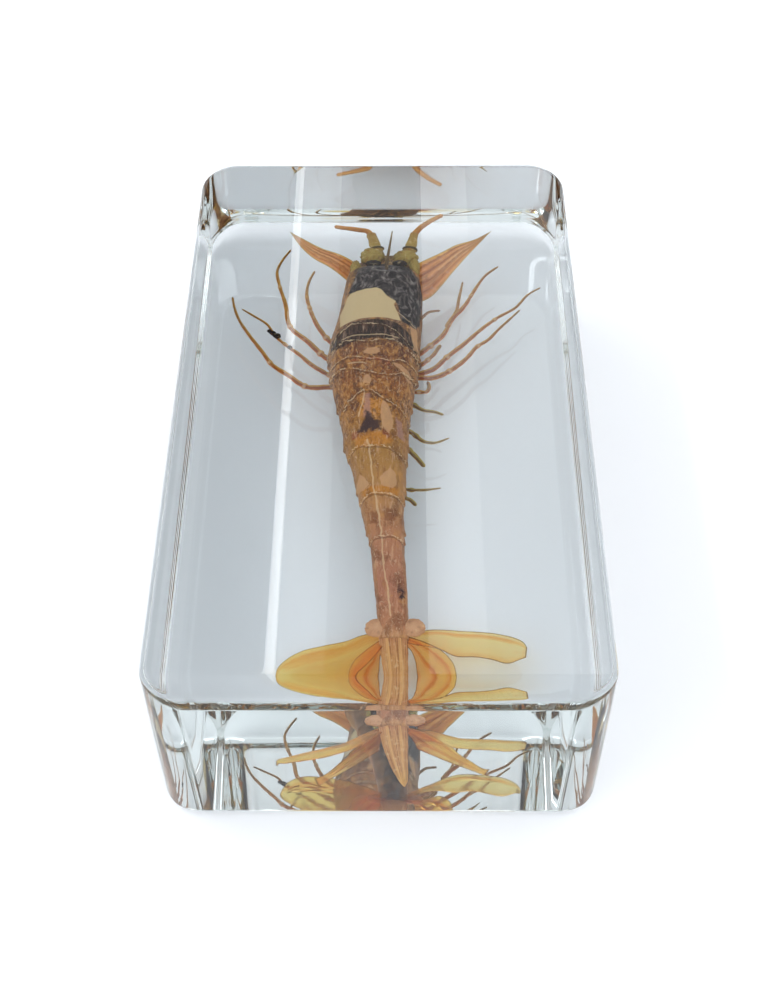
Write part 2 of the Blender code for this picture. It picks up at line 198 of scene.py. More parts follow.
# The slope worn into the top edge at the tail end: how far it runs, how deep and how sharply bent
CROWN_REACH = 4.5
CROWN_DEPTH = 1.9
CROWN_POWER = 3.4
TAIL_WALL_LEAN = 1.5
LEAN_REACH = 14.0
# The slopes worn into the lower edges, the heel at the head end and the toe at the tail end
HEEL_REACH = 9.5
HEEL_DEPTH = 3.15
TOE_REACH = 2.6
TOE_DEPTH = 1.3
RESIN_TINT = "#FBFDFF"
RESIN_INDEX = 1.5
# Across its width the resin takes about a seventh of the light, a faint greenish grey
ABSORPTION_COLOUR = "#97AFA6"
ABSORPTION_PER_METRE = 4.0


def nearness(gap, reach):
    """1 at an edge, falling in a straight line to 0 at this reach from it."""
    return np.clip(1 - gap / reach, 0, 1)


def block_places(plan, share):
    """Points of the block from places in plan and their share of its height. The tail wall leans
    in by the square of that share. The top face falls towards it by a power of its nearness, and
    the lower face rises by a cube at the head end and by a square at the tail end."""
    x, y = plan[..., 0], plan[..., 1]
    y = y + TAIL_WALL_LEAN * share ** 2 * nearness(y + BLOCK_LENGTH / 2, LEAN_REACH) ** 2
    to_tail, to_head = y + BLOCK_LENGTH / 2, BLOCK_LENGTH / 2 - y
    sunk = CROWN_DEPTH * nearness(to_tail - TAIL_WALL_LEAN, CROWN_REACH) ** CROWN_POWER
    low = HEEL_DEPTH * nearness(to_head, HEEL_REACH) ** 3 + TOE_DEPTH * nearness(to_tail, TOE_REACH) ** 2
    return np.stack([x, y, low + share * (BLOCK_HEIGHT - sunk - low)], axis=-1)


def block_rows(inset):
    """Places along Y and half widths of the block's plan, inset on all sides: a quarter round,
    the straight sides and a quarter round."""
    turn = np.linspace(0, math.pi / 2, CORNER_STEPS + 1)
    radius = CORNER_RADIUS - inset
    middle = BLOCK_LENGTH / 2 - CORNER_RADIUS
    straight = np.linspace(-middle, middle, round(2 * middle / ALONG_STEP) + 1)[1:-1]
    rounds = middle + radius * np.sin(turn)
    widths = BLOCK_WIDTH / 2 - CORNER_RADIUS + radius * np.cos(turn)
    along = np.concatenate([-rounds[::-1], straight, rounds])
    half = np.concatenate([widths[::-1], np.full(len(straight), BLOCK_WIDTH / 2 - inset), widths])
    return along, half


def block_face(inset, share):
    """A flat grid over the plan at an inset: its rows are the plan's, evenly divided across."""
    along, half = block_rows(inset)
    across = half[:, None] * np.linspace(-1, 1, ACROSS_STEPS + 1)[None, :]
    length = np.broadcast_to(along[:, None], across.shape)
    return block_places(np.stack([across, length], axis=2), share)


def block_ring(inset, share):
    """The outline of such a grid, once round from the tail end's left corner."""
    face = block_face(inset, share)
    return np.concatenate([face[0], face[1:, -1], face[-1, -2::-1], face[-2:0:-1, 0]])


def grid_faces(rows, columns, start=0, wrap=False):
    """Quads of a grid of points numbered row by row, closed round its columns if wrapped."""
    row = np.arange(rows - 1)[:, None] * columns
    here = np.arange(columns if wrap else columns - 1)[None, :]
    beside = (here + 1) % columns
    quads = np.stack([row + here, row + beside, row + columns + beside, row + columns + here], axis=2)
    return quads.reshape(-1, 4) + start


turn = np.linspace(0, math.pi / 2, EDGE_STEPS + 1)
lower = [(EDGE_RADIUS * (1 - math.sin(a)), EDGE_RADIUS * (1 - math.cos(a)) / BLOCK_HEIGHT) for a in turn]
upper = [(inset, 1 - share) for inset, share in reversed(lower)]
support_share = (EDGE_RADIUS + SUPPORT) / BLOCK_HEIGHT
profile = ([(EDGE_RADIUS + SUPPORT, 0)] + lower + [(0, support_share), (0, 0.5), (0, 1 - support_share)]
           + upper + [(EDGE_RADIUS + SUPPORT, 1)])
rings = np.stack([block_ring(inset, share) for inset, share in profile])
skin_faces = grid_faces(rings.shape[0], rings.shape[1], wrap=True)
top = block_face(EDGE_RADIUS + SUPPORT, 1)
bottom = block_face(EDGE_RADIUS + SUPPORT, 0)
count = rings.shape[0] * rings.shape[1]
face_size = top.shape[0] * top.shape[1]
top_faces = grid_faces(top.shape[0], top.shape[1], count)
bottom_faces = grid_faces(bottom.shape[0], bottom.shape[1], count + face_size)[:, ::-1]

# clear casting resin, ground and polished: smooth to the eye, so it bends and mirrors cleanly
resin, tree = new_material("polished_casting_resin")
clear = add_node(tree, "BsdfPrincipled", Base_Color=linear(RESIN_TINT), Roughness=0.0,
                 IOR=RESIN_INDEX, Transmission_Weight=1.0)
soak = add_node(tree, "VolumeAbsorption", Color=linear(ABSORPTION_COLOUR), Density=ABSORPTION_PER_METRE)
add_node(tree, "OutputMaterial", Surface=clear.outputs[0], Volume=soak.outputs[0])
block_points = np.concatenate([grid.reshape(-1, 3) for grid in (rings, top, bottom)])
block_faces = np.concatenate([skin_faces, top_faces, bottom_faces])
block = mesh_piece("resin_block", block_points, block_faces, resin)


def close_skin(piece, distance=0.002):
    """Welds points closer than this many mm, so that seams and poles are closed, and turns every
    face outwards."""
    edit = bmesh.new()
    edit.from_mesh(piece.data)
    bmesh.ops.remove_doubles(edit, verts=edit.verts, dist=distance * MM)
    bmesh.ops.recalc_face_normals(edit, faces=edit.faces)
    edit.to_mesh(piece.data)
    edit.free()
    piece.data.shade_smooth()


close_skin(block)
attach(block, "root")
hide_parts("resin_upper", "resin_lower")

# Shrimp's body: the dried shell of the carapace and of the six abdominal segments, each with a
# raised rear rim that laps over the next. It is thin brown chitin over dark dried flesh, torn
# open to pale membrane behind the head, and it holds every limb.
BODY_ROWS = 430
BODY_SIDES = 184
# Place along Y, left side, right side, height of the belly, of the widest level and of the back
BODY_STATIONS = [
    (40.4, -2.2, 4.2, 11.6, 12.7, 13.6), (39.2, -3.4, 4.9, 10.8, 12.9, 14.3),
    (37.6, -4.7, 5.9, 9.8, 13.2, 15.3), (36.2, -5.5, 6.3, 9.2, 13.4, 16.7),
    (35, -5.9, 6.4, 8.9, 13.5, 18.5), (33.4, -6.2, 6.5, 8.5, 13.5, 19.9),
    (30, -6.6, 6.7, 7.9, 13.5, 20.9), (24, -7.4, 6.7, 7.4, 13.4, 21.6),
    (18.5, -8.5, 6.3, 7.2, 13.3, 21.7), (13.9, -8.5, 6, 7.2, 13.1, 21.3),
    (9.9, -8, 5.5, 7.2, 12.9, 20.7), (4.5, -6.8, 4.7, 7.2, 12.5, 19.6), (0, -6, 4.3, 7.2, 12.1, 18.7),
    (-3.1, -5.6, 4.2, 7.2, 11.8, 17.9), (-7, -4.4, 3.9, 7.2, 11.4, 16.8),
    (-11.3, -3.5, 3.7, 7.2, 11, 15.4), (-15.1, -2.8, 3.5, 7.2, 10.7, 14.3),
    (-18.6, -1.9, 3.5, 7.2, 10.4, 13.5), (-23.7, -1.2, 3.7, 7.1, 10.1, 12.8),
    (-29.5, -0.7, 4, 7, 9.8, 12.1), (-34.5, -0.3, 4.2, 7, 9.5, 11.3),
    (-36.4, -0.1, 4.2, 7.2, 9.3, 10.9)]
FLANK_RIMS = [13.9, 9.9, 4.5, -3.1, -11.3, -18.6]
FLANK_RIM_LIFT = 0.3
# Rear rims across the back, in plan, each with its height
BACK_RIMS = [
    (0.22, [(-8.4, 15.6), (-7.7, 17.2), (-6.8, 18.5), (-5.1, 19.7), (-3, 19.6), (-0.8, 19.4), (0.9, 19),
            (2.7, 18), (3.9, 16.7), (4.9, 15.8), (6.2, 14.6)]),
    (0.30, [(-8.4, 14.8), (-6.4, 16.3), (-4.4, 16.1), (-2.5, 15.7), (0.4, 16.1), (2.2, 16.1), (4.2, 15),
            (6.1, 13.6)]),
    (0.12, [(-8.5, 12), (-6.1, 12.9), (-2.4, 12.3), (0.9, 11.9), (4, 12.4), (5.9, 11.4)]),
    (0.30, [(-8.2, 10.5), (-6.1, 10.9), (-1.9, 9.4), (1.5, 9), (3.6, 10), (5.5, 9.6)]),
    (0.22, [(-6.6, 1.6), (-6.1, 2.8), (-5.4, 4.1), (-4.2, 4.9), (-2.6, 5.8), (-1.5, 5.7), (-0.1, 4.7),
            (1.5, 3.7), (3.3, 2.7), (4.4, 1.6)]),
    (0.28, [(-5.4, -6.6), (-4.8, -5), (-3.8, -4.2), (-2, -4.3), (0.6, -4.5), (2.4, -5.1), (3.9, -6)]),
    (0.20, [(-3.3, -13.4), (-2.4, -12.9), (2.3, -12.9), (3.6, -13.4)]),
    (0.26, [(-1.7, -20.6), (-1.2, -20), (0.5, -19.8), (2.3, -20), (3.5, -20.5)]),
]
# How far a rim runs up ahead of its edge and drops behind it, and how far it wavers
RIM_RUN = 1.3
RIM_DROP = 0.32
RIM_WAVER = 0.18
# The underside narrows to a keel by this share, with a low step for each limb and rough lumps
BELLY_PINCH = 0.45
BELLY_STEP = 4.3
BELLY_STEP_HEIGHT = 0.16
BELLY_LUMPS = (1.6, 2.2, 1.6)
BELLY_LUMP_HEIGHT = 0.45
KEEL_HEIGHT = 0.1
KEEL_WIDTH = 0.22
MIDLINE = [
    (-2, -3.4), (-1.7, -5.4), (-1.4, -8.1), (-1.1, -10.8), (-0.7, -13.3), (-0.3, -15.9), (0.1, -18.5),
    (0.4, -23.8), (0.9, -27.3), (1.3, -30.6), (1.5, -33.1)]
# Softness of the edge in mm, and outlines in plan, of each kind of coloured area
SHELL_PATCHES = {
    # the smoky shell of the head
    "head": (0.5, [[
        (-4.8, 31.7), (-4.2, 34.3), (-3.2, 36.2), (0, 36.8), (3.7, 36.6), (5.2, 34.7), (6.6, 32.2),
        (6.7, 27.8), (6.4, 22.1), (5.4, 20.2), (3.2, 20.6), (2.7, 24.3), (1.2, 26), (-1.3, 27.2),
        (-2.1, 28.1), (-5.6, 28.2)]]),
    # the band of ribbed dark membrane behind the tear
    "band": (0.6, [[
        (-8.2, 15.6), (-7.9, 17.4), (-6.6, 19.2), (-4.6, 20.3), (-0.8, 20.5), (2.4, 20.1), (4.4, 18.6),
        (5.6, 16.2), (5.4, 15), (4, 15.6), (2.2, 16), (-0.5, 16.2), (-2.5, 16.1), (-5, 15.9),
        (-6.6, 15.4)]]),
    # the pale membrane where the shell is torn open
    "beige": (0.3, [[
        (-5.9, 27.3), (-5.2, 28.2), (-4, 28.1), (-2.9, 28.4), (-2.1, 28.2), (-1.1, 28.3), (-0.1, 27.7),
        (0.5, 26.7), (0.9, 26), (2.4, 25.1), (2, 24.3), (2.7, 22.3), (3.1, 20.7), (0.8, 20.9),
        (-3.2, 20.9), (-6.8, 20.4), (-7, 24.4), (-6.4, 25.4)]]),
    # scars of bare shell
    "tan": (0.35, [
        [(-2.9, 13.4), (-2.3, 14.2), (-1.2, 14.4), (-0.3, 14.2), (-0.2, 13.4), (-0.9, 12.9),
         (-2.1, 12.9), (-2.6, 13.1)],
        [(-2.9, 7.2), (-2.7, 8.8), (-1.9, 8.9), (-1.5, 7.6), (-1.8, 7.1)],
        [(1.5, 11.7), (3.1, 11.5), (4.1, 10.8), (4.9, 9), (4.4, 8.8), (3.4, 9.9), (2.3, 10.9)],
        [(0.4, 4.1), (1.1, 3.2), (1.7, 1.4), (1.9, -0.2), (1.2, -2.3), (0.4, -1.2), (-0.1, 0.9),
         (0, 3)],
        [(4.6, 20.5), (5.8, 20.5), (5.8, 15.6), (4.9, 15.6)],
        [(-3.6, -10.6), (-3.2, -8.7), (-2.3, -9.7), (-1.7, -11), (-2.5, -11.6), (-3.4, -11.4)],
        [(-0.2, -10), (0.5, -9.1), (1.4, -8.2), (2.2, -8.7), (2.4, -10.7), (1.8, -11.6),
         (0.3, -11.4)]]),
    # dark stains along the midline and beside the tail
    "purple": (1, [
        [(-3.4, -1.7), (-3.1, -0.6), (-2.5, 0.6), (-2.3, 2), (-1.7, 1.8), (-1.4, 0.5), (-0.6, 0.2),
         (0, -0.4), (0.1, -1.5), (-1, -1.8), (-1.6, -1.5), (-2.2, -1.9)],
        [(2.7, -28.2), (3.3, -28.4), (3.6, -30), (2.9, -30.1)]]),
    # flesh that shows through the shell
    "pink": (0.7, [
        [(-2.6, 5.2), (-1.8, 5.2), (-1.5, 0.8), (-2.8, 0.8)],
        [(2.2, 1.2), (3.2, 0.6), (3.6, -2.6), (2.6, -2.2)]]),
    # clean golden shell
    "gold": (1, [
        [(-4, -2), (1.4, -1.9), (1.9, -3.6), (0, -4.5), (-3.8, -4.5)],
        [(-3.2, 4.4), (0.4, 4.6), (0.2, 1), (-3.4, 1)],
        [(-2.9, -11.3), (2.7, -11.3), (2.5, -12.8), (-2.5, -12.8)]]),
    # rusty edges
    "rust": (0.45, [
        [(-5.6, 11.9), (-4.6, 12.3), (-2.6, 12.3), (-0.4, 12.2), (1.4, 11.8), (1.6, 10.3), (0.7, 10.5),
         (0.6, 11.4), (-2.6, 11.8)],
        [(-4.6, -1.4), (-3.6, -1.5), (-3.4, -2.6), (-4.4, -2.8)],
        [(0.2, -1.4), (1.2, -1.6), (1.3, -2.9), (0.2, -2.5)]]),
    # brown stains
    "stain": (1, [
        [(-2, -15.4), (-0.4, -15.6), (-0.4, -17.6), (-1.7, -17.2)],
        [(0.4, -15), (2.5, -15.2), (2.3, -17), (0.6, -17.4)],
        [(2.6, -27), (3.4, -27.2), (3.7, -32.4), (2.9, -32)],
        [(-4.4, 14.6), (-2.9, 14.8), (-3.4, 13.2), (-5.4, 13)]]),
}
# Pale folds and scars besides the rims
PALE_LINES = [
    MIDLINE,
    [(2.6, 22.6), (4.2, 21.4), (5.6, 20.8)],
    [(-5.2, 11.6), (-2.9, 11.3), (-2.4, 11)],
    [(-6.2, 16.9), (-4.4, 17.2), (-2, 16.9), (0.6, 17.1), (2.6, 16.7)],
    [(-2.6, 6), (-2.9, 3.4), (-3.6, 1.2)],
]
HEAD_FOLDS = (1.6, 2.6, 2.0)
HEAD_FOLD_HEIGHT = 0.34
TEAR_DEPTH = 0.08
MEMBRANE_RIB_SPACING = 7 / 9
MEMBRANE_RIB_HEIGHT = 0.12
PALE_LINE_WIDTH = 0.14
# Height and size of the wrinkles all over the shell, and of those along the tail segments
WRINKLES = [(0.07, (0.9, 1.5, 1.0)), (0.035, 0.42)]
TAIL_WRINKLES = (0.09, (0.5, 3.2, 3.0))


def smooth_table(table, places):
    """A smooth curve through a table's rows, the first column against the rest: cubic spans
    whose slopes at each row are the mean of its neighbours'."""
    rows = np.array(sorted(map(tuple, table)), dtype=float)
    keys, values = rows[:, 0], rows[:, 1:]
    slopes = np.gradient(values, keys, axis=0)
    places = np.clip(places, keys[0], keys[-1])
    span = np.clip(np.searchsorted(keys, places) - 1, 0, len(keys) - 2)
    width = (keys[span + 1] - keys[span])[..., None]
    t = (places - keys[span])[..., None] / width
    return ((2 * t ** 3 - 3 * t ** 2 + 1) * values[span] + (t ** 3 - 2 * t ** 2 + t) * width * slopes[span]
            + (3 * t ** 2 - 2 * t ** 3) * values[span + 1] + (t ** 3 - t ** 2) * width * slopes[span + 1])


LATTICE_SIDE = 32
LATTICE = np.random.default_rng(11).uniform(-1, 1, (LATTICE_SIDE,) * 3)


def uneven(points, size):
    """Random height between -1 and 1: random values at the corners of cells of this size in mm,
    one size or one for each axis, blended along each side with a smooth step."""
    place = points / np.asarray(size, dtype=float)
    cell = np.floor(place).astype(int)
    part = place - cell
    part = part * part * (3 - 2 * part)
    total = 0
    for corner in range(8):
        step = np.array([corner >> bit & 1 for bit in range(3)])
        weight = np.where(step, part, 1 - part).prod(axis=-1)
        total = total + weight * LATTICE[tuple(np.moveaxis((cell + step) % LATTICE_SIDE, -1, 0))]
    return total


def gap_to_line(x, y, line):
    """Distance in plan, in mm, to the nearest point of a broken line."""
    nearest = np.full(x.shape, 1e6)
    for (x0, y0), (x1, y1) in zip(line[:-1], line[1:]):
        run, rise = x1 - x0, y1 - y0
        share = np.clip(((x - x0) * run + (y - y0) * rise) / (run ** 2 + rise ** 2), 0, 1)
        nearest = np.minimum(nearest, np.hypot(x - x0 - share * run, y - y0 - share * rise))
    return nearest


def patch_share(x, y, softness, outlines):
    """1 inside any of the closed outlines in plan and 0 outside, across a soft edge in mm."""
    best = np.zeros(x.shape)
    for outline in outlines:
        closed = [*outline, outline[0]]
        inside = np.zeros(x.shape, dtype=bool)
        for (x0, y0), (x1, y1) in zip(closed[:-1], closed[1:]):
            if y0 != y1:
                inside ^= ((y0 > y) != (y1 > y)) & (x < (x1 - x0) * (y - y0) / (y1 - y0) + x0)
        depth = gap_to_line(x, y, closed) * np.where(inside, 1, -1)
        best = np.maximum(best, np.clip(0.5 + depth / (2 * softness), 0, 1))
    return best


def round_turn(count):
    """Angles once round a limb or the body, evenly spread."""
    return np.linspace(0, 2 * math.pi, count, endpoint=False)[None, :]


def closed_surface(rings, **paints):
    """A closed skin over rings of points: each end is drawn in to the middle of its last ring.
    Paints are numbers for a material to read, one for each point, for each ring or for each
    place round the rings."""
    first, last = [np.broadcast_to(end.mean(axis=1, keepdims=True), end.shape)
                   for end in (rings[:1], rings[-1:])]
    for name, values in paints.items():
        values = np.broadcast_to(values, rings.shape[:2])
        paints[name] = np.concatenate([values[:1], values, values[-1:]])
    return np.concatenate([first, rings, last]), paints


def shell_piece(name, surfaces, material):
    """One piece from several closed skins, with their paints as point attributes."""
    points, faces, start = [], [], 0
    for rings, _ in surfaces:
        points.append(rings.reshape(-1, 3))
        faces.append(grid_faces(rings.shape[0], rings.shape[1], start, wrap=True))
        start += rings.shape[0] * rings.shape[1]
    piece = mesh_piece(name, np.concatenate(points), np.concatenate(faces), material)
    for paint in surfaces[0][1]:
        layer = piece.data.attributes.new(paint, "FLOAT", "POINT")
        layer.data.foreach_set("value", np.concatenate([paints[paint].ravel() for _, paints in surfaces]))
    close_skin(piece)
    return piece


def unit(vectors):
    """Vectors of length one."""
    return vectors / np.maximum(np.linalg.norm(vectors, axis=-1, keepdims=True), 1e-9)


def step_up(values, low, high):
    """A smooth step from 0 at low to 1 at high."""
    share = np.clip((values - low) / (high - low), 0, 1)
    return share * share * (3 - 2 * share)


def rim_lift(ahead):
    """A rim's height as a share, at a place so far ahead of its line: an exponential that rises
    to the line and starts again from a small dip behind it."""
    return np.where(ahead > 0, np.exp(-ahead / RIM_RUN), -0.4 * np.exp(ahead / RIM_DROP))


def body_skin():
    """Ellipses across the body with separate heights above and below their widest level, lifted
    by the rims, the midline keel and the wrinkles of the dried shell."""
    along = np.linspace(BODY_STATIONS[0][0], BODY_STATIONS[-1][0], BODY_ROWS)[:, None]
    turn = round_turn(BODY_SIDES)
    left, right, belly, widest, back = np.moveaxis(smooth_table(BODY_STATIONS, along), -1, 0)
    cosine, sine = np.cos(turn), np.sin(turn)
    half = (right - left) / 2
    tall = np.where(sine > 0, back - widest, widest - belly)
    x = (left + right) / 2 + half * cosine * (1 - BELLY_PINCH * step_up(-sine, 0, 1))
    y = np.broadcast_to(along, x.shape)
    z = widest + tall * sine
    outward = unit(np.stack([cosine * tall, np.zeros(x.shape), sine * half], axis=-1))
    plain = np.stack([x, y, z], axis=-1)
    upper = step_up(sine, -0.15, 0.15)
    side = np.abs(cosine)
    lift = np.zeros(x.shape)
    rim_gap = np.full(x.shape, 2.0)
    for height, line in BACK_RIMS:
        ahead = y - smooth_table(line, x)[..., 0] + RIM_WAVER * uneven(plain, 1.7)
        lift += upper * height * rim_lift(ahead)
        rim_gap = np.where(np.abs(ahead) < np.abs(rim_gap), ahead, rim_gap)
    for place in FLANK_RIMS:
        lift += step_up(side, 0.75, 0.98) * FLANK_RIM_LIFT * rim_lift(y - place)
    lift += KEEL_HEIGHT * upper * np.exp(-(gap_to_line(x, y, MIDLINE) / KEEL_WIDTH) ** 2)
    folds = 1 - np.abs(uneven(plain, HEAD_FOLDS)) * 2
    head, tear, band = [patch_share(x, y, softness, SHELL_PATCHES[patch][1])
                        for softness, patch in ((1, "head"), (0.3, "beige"), (0.4, "band"))]
    ribs = np.cos(x * math.pi / MEMBRANE_RIB_SPACING) ** 2
    lift += upper * (HEAD_FOLD_HEIGHT * head * (folds - 0.4) - TEAR_DEPTH * tear
                     + MEMBRANE_RIB_HEIGHT * band * ribs)
    for height, size in WRINKLES:
        lift += height * uneven(plain, size)
    lift += TAIL_WRINKLES[0] * uneven(plain, TAIL_WRINKLES[1]) * step_up(-y, 2, 22)
    underside = (BELLY_STEP_HEIGHT * np.sin(y * 2 * math.pi / BELLY_STEP)
                 + BELLY_LUMP_HEIGHT * uneven(plain, BELLY_LUMPS))
    lift += (1 - upper) * underside * step_up(-sine, 0.2, 0.7)
    pale = np.zeros(x.shape)
    for line in PALE_LINES:
        gap = gap_to_line(x + 0.15 * uneven(plain, 0.9), y, line)
        pale = np.maximum(pale, upper * np.exp(-(gap / PALE_LINE_WIDTH) ** 2))
    paints = {name: upper * patch_share(x, y, *patch) for name, patch in SHELL_PATCHES.items()}
    # The lower half of the body carries a paint for the painted shade on its underside
    return closed_surface(plain + outward * lift[..., None], rim=rim_gap + 2 * (1 - upper), pale=pale,
                          flank=step_up(side, 0.6, 1.0), thorax=step_up(y, -8, 4),
                          under=1 - step_up(sine, -0.35, 0.05), **paints)


# Ground colour by place along the body, in mm
SHELL_ENDS = (-37, 41)
SHELL_ALONG = [
    (-37, "#C8905C"), (-34.5, "#BE8058"), (-28, "#B8785A"), (-20, "#BC7E58"), (-12, "#B88248"),
    (-5, "#B07C34"), (2, "#A06420"), (8, "#96561C"), (14, "#7A4622"), (18, "#50362A"), (21, "#8A6242"),
    (27, "#8A6644"), (31, "#6E5438"), (35, "#4A3C2C"), (37, "#5E5230"), (41, "#7E6E3A")]
# Smoky tones of the head's shell and of the torn membrane behind it
SMOKE_TONES = [
    (0, "#0C0808"), (0.42, "#1A1414"), (0.5, "#322A2A"), (0.57, "#5A524F"), (0.65, "#867E76"),
    (0.85, "#A89E94")]
MEMBRANE_TONES = [
    (0, "#140805"), (0.45, "#22120A"), (0.56, "#4A3226"), (0.68, "#8A6E5A"), (0.85, "#D0B8A0")]


def toned(tree, ground, noise, low, high, tone, strength, mask=None):
    """Mixes a colour, or a socket's, over the ground as the noise goes from low to high, where
    the mask allows."""
    share = add_node(tree, "MapRange", {"interpolation_type": "SMOOTHSTEP"}, Value=noise,
                     From_Min=low, From_Max=high, To_Min=0.0, To_Max=strength).outputs["Result"]
    if mask:
        share = add_node(tree, "Math", {"operation": "MULTIPLY"}, in0=share, in1=mask).outputs[0]
    tone = linear(tone) if isinstance(tone, str) else tone
    return add_node(tree, "Mix", {"data_type": "RGBA"}, in0=share, in6=ground, in7=tone).outputs[2]


def layered_colour(tree, ground, layers, fret):
    """Lays each colour over the ground where its painted mask plus its reach of the fretting
    noise passes one half. A layer is its attribute, colour or socket, strength and reach."""
    for attribute, tone, strength, reach in layers:
        mask = add_node(tree, "Attribute", {"attribute_name": attribute}).outputs["Fac"]
        shifted = add_node(tree, "Math", {"operation": "MULTIPLY_ADD"}, in0=fret, in1=reach, in2=mask)
        ground = toned(tree, ground, shifted.outputs[0], 0.34 + reach / 2, 0.66 + reach / 2, tone, strength)
    return ground


# dried chitin shell: dull and saturated, freckled dark, scribbled over with fine pale scars
shell, tree = new_material("dried_chitin_shell")
place = add_node(tree, "TexCoord").outputs["Object"]
axes = add_node(tree, "SeparateXYZ", Vector=place)
along = add_node(tree, "MapRange", Value=axes.outputs["Y"], From_Min=SHELL_ENDS[0] * MM,
                 From_Max=SHELL_ENDS[1] * MM)
stops = [((y - SHELL_ENDS[0]) / (SHELL_ENDS[1] - SHELL_ENDS[0]), code) for y, code in SHELL_ALONG]
ground = add_node(tree, "ValToRGB", {"stops": stops}, Fac=along.outputs[0]).outputs["Color"]


def noise_of(tree, place, grain, detail=4.0, roughness=0.6, distortion=0.0):
    """Noise whose lumps are this many mm long on each axis."""
    scale = [1000 / side for side in grain]
    drawn = add_node(tree, "Mapping", Vector=place, Scale=scale)
    return add_node(tree, "TexNoise", Vector=drawn.outputs[0], Scale=1.0, Detail=detail,
                    Roughness=roughness, Distortion=distortion).outputs["Fac"]


def line_share(tree, value, middle, half):
    """1 where the value is at its middle, falling to 0 at this half width either side."""
    off = add_node(tree, "Math", {"operation": "SUBTRACT"}, in0=value, in1=middle)
    size = add_node(tree, "Math", {"operation": "ABSOLUTE"}, in0=off.outputs[0])
    return add_node(tree, "MapRange", {"interpolation_type": "SMOOTHSTEP"}, Value=size.outputs[0],
                    From_Min=0.0, From_Max=half, To_Min=1.0, To_Max=0.0).outputs["Result"]


fret = noise_of(tree, place, (0.7, 0.7, 0.7))
# Tints below the mottling; the first is painted shade, near black over the underside of the body
ground = layered_colour(tree, ground, [("under", "#2C160A", 1.0, 0.6), ("flank", "#AC7848", 0.5, 0.5),
                                       ("gold", "#C67C1C", 0.85, 0.5), ("rust", "#9A4412", 0.85, 0.4),
                                       ("stain", "#7E4420", 0.7, 0.6)], fret)
thorax = add_node(tree, "Attribute", {"attribute_name": "thorax"}).outputs["Fac"]
mottle = noise_of(tree, place, (3.0, 3.6, 3.0), 7.0, 0.66)
blotch = noise_of(tree, place, (1.5, 1.9, 1.6), 6.0, 0.7, 1.0)
freckle = noise_of(tree, place, (0.55, 0.75, 0.6), 3.0, 0.65, 0.6)
streak = noise_of(tree, place, (0.5, 3.2, 1.4))
scribble = noise_of(tree, place, (1.1, 1.7, 1.3), 2.0, 0.5, 1.2)
# Noise, where it starts to tell and where it is full, colour, strength and mask
for noise, low, high, code, strength, mask in (
        (mottle, 0.5, 0.64, "#6A3818", 0.55, None), (mottle, 0.46, 0.33, "#D8994C", 0.4, None),
        (streak, 0.53, 0.68, "#7A3E1E", 0.4, None), (streak, 0.45, 0.31, "#E8BC90", 0.4, None),
        (blotch, 0.51, 0.6, "#4E2810", 0.7, thorax), (blotch, 0.47, 0.38, "#D0924A", 0.55, thorax),
        (freckle, 0.54, 0.66, "#4A220E", 0.6, thorax), (freckle, 0.44, 0.33, "#E0A860", 0.55, thorax)):
    ground = toned(tree, ground, noise, low, high, code, strength, mask)
scarred = add_node(tree, "MapRange", Value=mottle, From_Min=0.42, From_Max=0.56)
scar = add_node(tree, "Math", {"operation": "MULTIPLY"}, in0=line_share(tree, scribble, 0.5, 0.02),
                in1=scarred.outputs[0])
ground = toned(tree, ground, scar.outputs[0], 0.1, 0.8, "#F0CCA4", 0.4)
smoke = add_node(tree, "ValToRGB", {"stops": SMOKE_TONES},
                 Fac=noise_of(tree, place, (2.0, 2.6, 2.0), 6.0, 0.62, 1.6))
membrane = add_node(tree, "ValToRGB", {"stops": MEMBRANE_TONES},
                    Fac=noise_of(tree, place, (0.45, 2.6, 1.2), 4.0, 0.6, 0.5))
# A rim is a thin pale line, broken here and there, with painted shade in the crease close behind it
ahead = add_node(tree, "Attribute", {"attribute_name": "rim"}).outputs["Fac"]
hair = add_node(tree, "Math", {"operation": "MULTIPLY_ADD"}, in0=fret, in1=0.5, in2=ahead).outputs[0]
broken = add_node(tree, "MapRange", Value=blotch, From_Min=0.42, From_Max=0.56, To_Min=0.1, To_Max=1.0)
rim = add_node(tree, "Math", {"operation": "MULTIPLY"}, in0=line_share(tree, hair, 0.25, 0.1),
               in1=broken.outputs[0]).outputs[0]
painted_crease_shade = line_share(tree, hair, -0.05, 0.3)
# Patches over the mottling
SHELL_LAYERS = [
    ("head", smoke.outputs["Color"], 1.0, 0.35), ("band", membrane.outputs["Color"], 0.97, 0.4),
    ("pink", "#B28478", 0.6, 0.5), ("purple", "#2E1018", 0.92, 0.9), ("tan", "#D2A070", 0.75, 0.5),
    ("beige", "#CFB688", 1.0, 0.08), ("pale", "#EACB9C", 0.5, 0.5)]
ground = layered_colour(tree, ground, SHELL_LAYERS, fret)
# painted shade in the crease behind each rim, then the pale rim line over it
ground = toned(tree, ground, painted_crease_shade, 0.1, 1.0, "#4E2A14", 0.5)
ground = toned(tree, ground, rim, 0.05, 0.8, "#F4D6A8", 0.65)
grain = noise_of(tree, place, (0.35, 0.35, 0.35), 3.0)
relief = add_node(tree, "Bump", Height=grain, Strength=0.6, Distance=0.12 * MM)
coat = add_node(tree, "BsdfPrincipled", Base_Color=ground, Roughness=0.45, Specular_IOR_Level=0.08,
                Normal=relief.outputs[0])
add_node(tree, "OutputMaterial", Surface=coat.outputs[0])


def join_shrimp(*pieces):
    """These pieces ride on the one body and stand in for the shrimp's node, which is hidden."""
    for piece in pieces:
        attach(piece, "root")
        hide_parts("shrimp")


body = shell_piece("shrimp_body", [body_skin()], shell)
join_shrimp(body)

